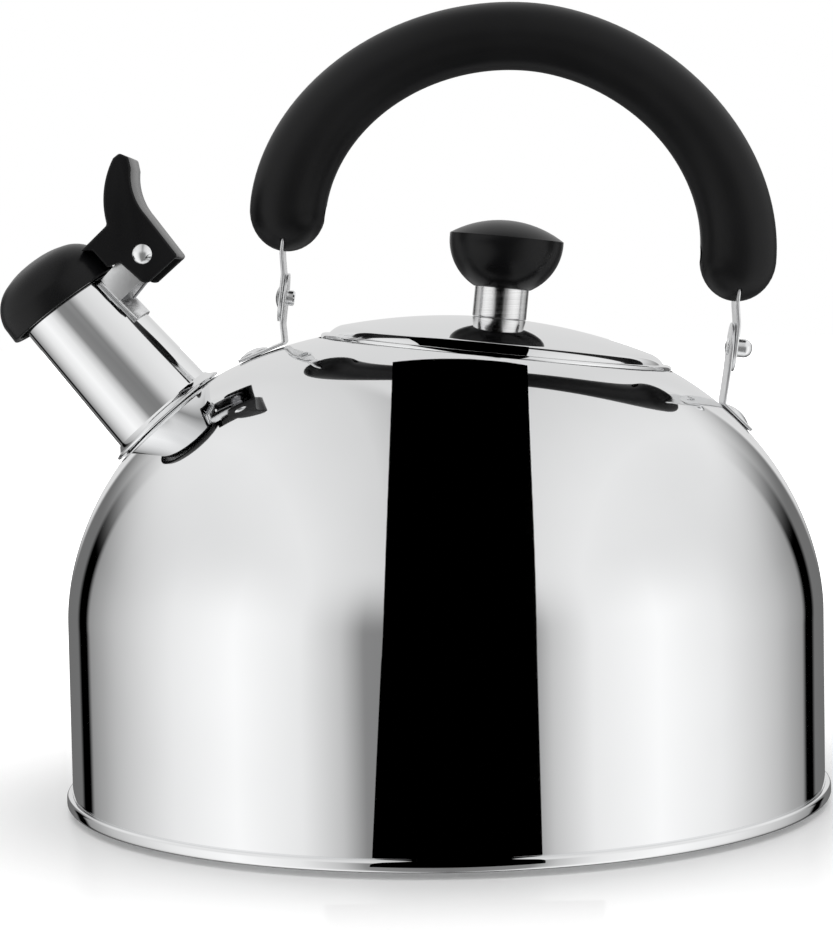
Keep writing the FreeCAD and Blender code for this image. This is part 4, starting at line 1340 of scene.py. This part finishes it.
@dataclass(frozen=True)
class Studio:
    """White studio: a pale floor, a bright tent, a lamp above and one black flag in front."""

    around: float = 0.4
    tent_r: float = 2.6
    floor_r: float = 6.0
    # angle past the camera's side, in degrees, and the tent's brightness there, low down
    low_glow: tuple[Point, ...] = (
        (0, 0.2), (23, 0.26), (30, 0.6), (42, 0.9), (63, 1.06), (86, 0.9), (104, 0.68), (114, 0.55),
        (122, 0.42), (131, 0.31), (134, 0.0), (141, 0.0), (144, 0.17), (180, 0.14))
    # sideways part of the direction, and the tent's brightness there, high up
    high_glow: tuple[Point, ...] = ((0, 0.3), (0.1, 0.5), (0.25, 0.72), (0.6, 0.88), (1.0, 0.8))
    # distance from the kettle in metres, and the floor's painted glow there
    floor_painted_glow: tuple[Point, ...] = ((0.0, 0.0), (0.118, 0.0), (0.2, 0.3), (0.8, 1.0))
    # shares of the half turn, and of the tent's radius, over which its two gradings meet
    behind: Point = (0.85, 0.9)
    blend: Point = (0.12, 0.55)
    back_slope: float = 3.3
    back_lift: float = 0.42
    back_glow: float = 0.74
    # the flag hangs at an even gap before the wall and over the dome; its left and right edges
    # are given in millimetres at the foot, at the shoulder and at the top
    flag_gap: float = 25.0
    flag_low: float = -3.0
    flag_foot: Point = (-30.7, 37.2)
    flag_shoulder: Point = (-24.7, 36.1)
    flag_top: Point = (-17.0, 31.4)
    flag_turn: float = 84.5
    flag_steps: int = 14
    lamp_z: float = 2.0
    lamp_size: float = 2.4
    lamp_watts: float = 22.0

    def glow(self, sheet: NodeSheet, value: Socket, stops: Sequence[Point]) -> Socket:
        """Brightness along a value from 0 to 1, from a few stops."""
        ramp = sheet.add("ValToRGB", Fac=value)
        elements = ramp.color_ramp.elements
        while len(elements) < len(stops):
            elements.new(0.5)
        for element, (position, level) in zip(elements, stops):
            element.position = position
            element.color = (level, level, level, 1)
        return ramp.outputs["Color"]

    def tent_light(self) -> Material:
        """Glow of the tent: graded round the sides, even above."""
        sheet = NodeSheet("studio_tent")
        node = sheet.add("Mapping", Vector=sheet.place())
        node.inputs["Rotation"].default_value = (0, 0, math.radians(-self.around))
        split = sheet.add("SeparateXYZ", Vector=node.outputs["Vector"]).outputs
        away = sheet.math("ARCTAN2", split["X"], sheet.math("MULTIPLY", split["Y"], -1.0))
        share = sheet.math("DIVIDE", sheet.math("ABSOLUTE", away), math.pi)
        low = self.glow(sheet, share, [(degrees / 180, level) for degrees, level in self.low_glow])
        sideways = sheet.math("DIVIDE", sheet.math("ABSOLUTE", split["X"]), self.tent_r)
        high = self.glow(sheet, sideways, self.high_glow)
        rise = sheet.math("DIVIDE", split["Z"], self.tent_r)
        # behind the kettle the tent turns even and bright from low down on
        back = sheet.eased(share, *self.behind)
        slope = sheet.math("ADD", sheet.math("MULTIPLY", back, self.back_slope), 1.0)
        steeper = sheet.math("MULTIPLY", rise, slope)
        rise = sheet.math("ADD", steeper, sheet.math("MULTIPLY", back, self.back_lift))
        even = (self.back_glow,) * 3 + (1,)
        high = sheet.add("MixRGB", Fac=back, Color1=high, Color2=even).outputs["Color"]
        blend = sheet.eased(rise, *self.blend)
        mix = sheet.add("MixRGB", Fac=blend, Color1=low, Color2=high)
        light = sheet.add("Emission", Color=mix.outputs["Color"], Strength=1.0)
        sheet.add("OutputMaterial", Surface=light.outputs["Emission"])
        sheet.material.cycles.emission_sampling = "NONE"
        return sheet.material

    def black(self) -> Material:
        """Black cloth of the flag."""
        sheet = NodeSheet("studio_black")
        return sheet.surface(Base_Color=(0, 0, 0, 1), Roughness=1.0, Specular_IOR_Level=0.0)

    def flag_mesh(self) -> Mesh:
        """Strip of cloth from before the kettle up over its top."""
        over = Shell(wall_r=Shell.wall_r + self.flag_gap, dome_h=Shell.dome_h + self.flag_gap)
        bm = bmesh.new()
        rows = [(*self.flag_foot, -over.wall_r, self.flag_low)]
        for i in range(self.flag_steps + 1):
            share = i / self.flag_steps
            left = self.flag_shoulder[0] + (self.flag_top[0] - self.flag_shoulder[0]) * share
            right = self.flag_shoulder[1] + (self.flag_top[1] - self.flag_shoulder[1]) * share ** 2
            radius, z = over.dome_point(math.radians(self.flag_turn) * share)
            rows.append((left, right, -radius, z))
        lines = [[Vector((x, y, z)) * MM for x in (left, right)] for left, right, y, z in rows]
        loops = [wire(bm, line, closed=False)[len(line):] for line in lines]
        for first, second in zip(loops, loops[1:]):
            bmesh.ops.bridge_loops(bm, edges=first + second)
        return bm

    def floor_material(self) -> Material:
        """White floor with a painted glow that brightens it into the distance, so that it has no
        horizon; the glow is nil near the kettle, so the floor round the kettle is left darker.
        """
        sheet = NodeSheet("studio_floor")
        cloth = sheet.noise(sheet.place(), 3.0)
        away = sheet.add("VectorMath", Vector=sheet.place())
        away.operation = "LENGTH"
        # painted glow: the floor glows by its distance from the kettle, none near it and full white
        # far off
        painted_glow = self.glow(sheet, away.outputs["Value"], self.floor_painted_glow)
        return sheet.surface(
            Base_Color=sheet.tinted(cloth, (0.9, 0.9, 0.9), (0.92, 0.92, 0.92)), Roughness=0.3,
            Specular_IOR_Level=0.05, Emission_Color=painted_glow, Emission_Strength=1.0)

    def lamp(self) -> None:
        """Broad lamp overhead that lights the floor but shows in no reflection."""
        light = bpy.data.lights.new("studio_lamp", "AREA")
        light.size = self.lamp_size
        light.energy = self.lamp_watts
        stand = bpy.data.objects.new("studio_lamp", light)
        stand.location = (0, 0, self.lamp_z)
        stand.visible_glossy = False
        bpy.context.scene.collection.objects.link(stand)

    def build(self) -> None:
        """Set the studio up."""
        floor = bmesh.new()
        bmesh.ops.create_circle(floor, cap_ends=True, segments=96, radius=self.floor_r)
        tent = bmesh.new()
        bmesh.ops.create_uvsphere(tent, u_segments=64, v_segments=32, radius=self.tent_r)
        flag = self.flag_mesh()
        turn = Matrix.Rotation(math.radians(self.around), 3, "Z")
        bmesh.ops.rotate(flag, verts=flag.verts, matrix=turn)
        for name, bm, material in (
                ("floor", floor, self.floor_material()), ("tent", tent, self.tent_light()),
                ("flag", flag, self.black())):
            stand = as_object(bm, "studio_" + name)
            stand.data.shade_smooth()
            stand.data.materials.append(material)
            stand.visible_glossy = name != "floor"
            stand.visible_camera = name == "floor"
            stand.visible_diffuse = name != "flag"
            stand.visible_shadow = name == "floor"
        world = bpy.data.worlds.new("studio_white")
        world.use_nodes = True
        world.node_tree.nodes["Background"].inputs["Color"].default_value = (1, 1, 1, 1)
        bpy.context.scene.world = world
        self.lamp()
        bpy.context.scene.view_settings.view_transform = "Standard"


def main() -> None:
    """Build the sub-assemblies in order, then the studio."""
    logging.basicConfig(level=logging.INFO, format="%(name)s: %(message)s")
    for part in (Foot(), Shell(), Lid(), Spout(), Whistle(), Mounts(), Grip()):
        log.info("building %s", type(part).__name__)
        part.build()
    Studio().build()
    Viewpoint().build()


if __name__ == "__main__":
    main()
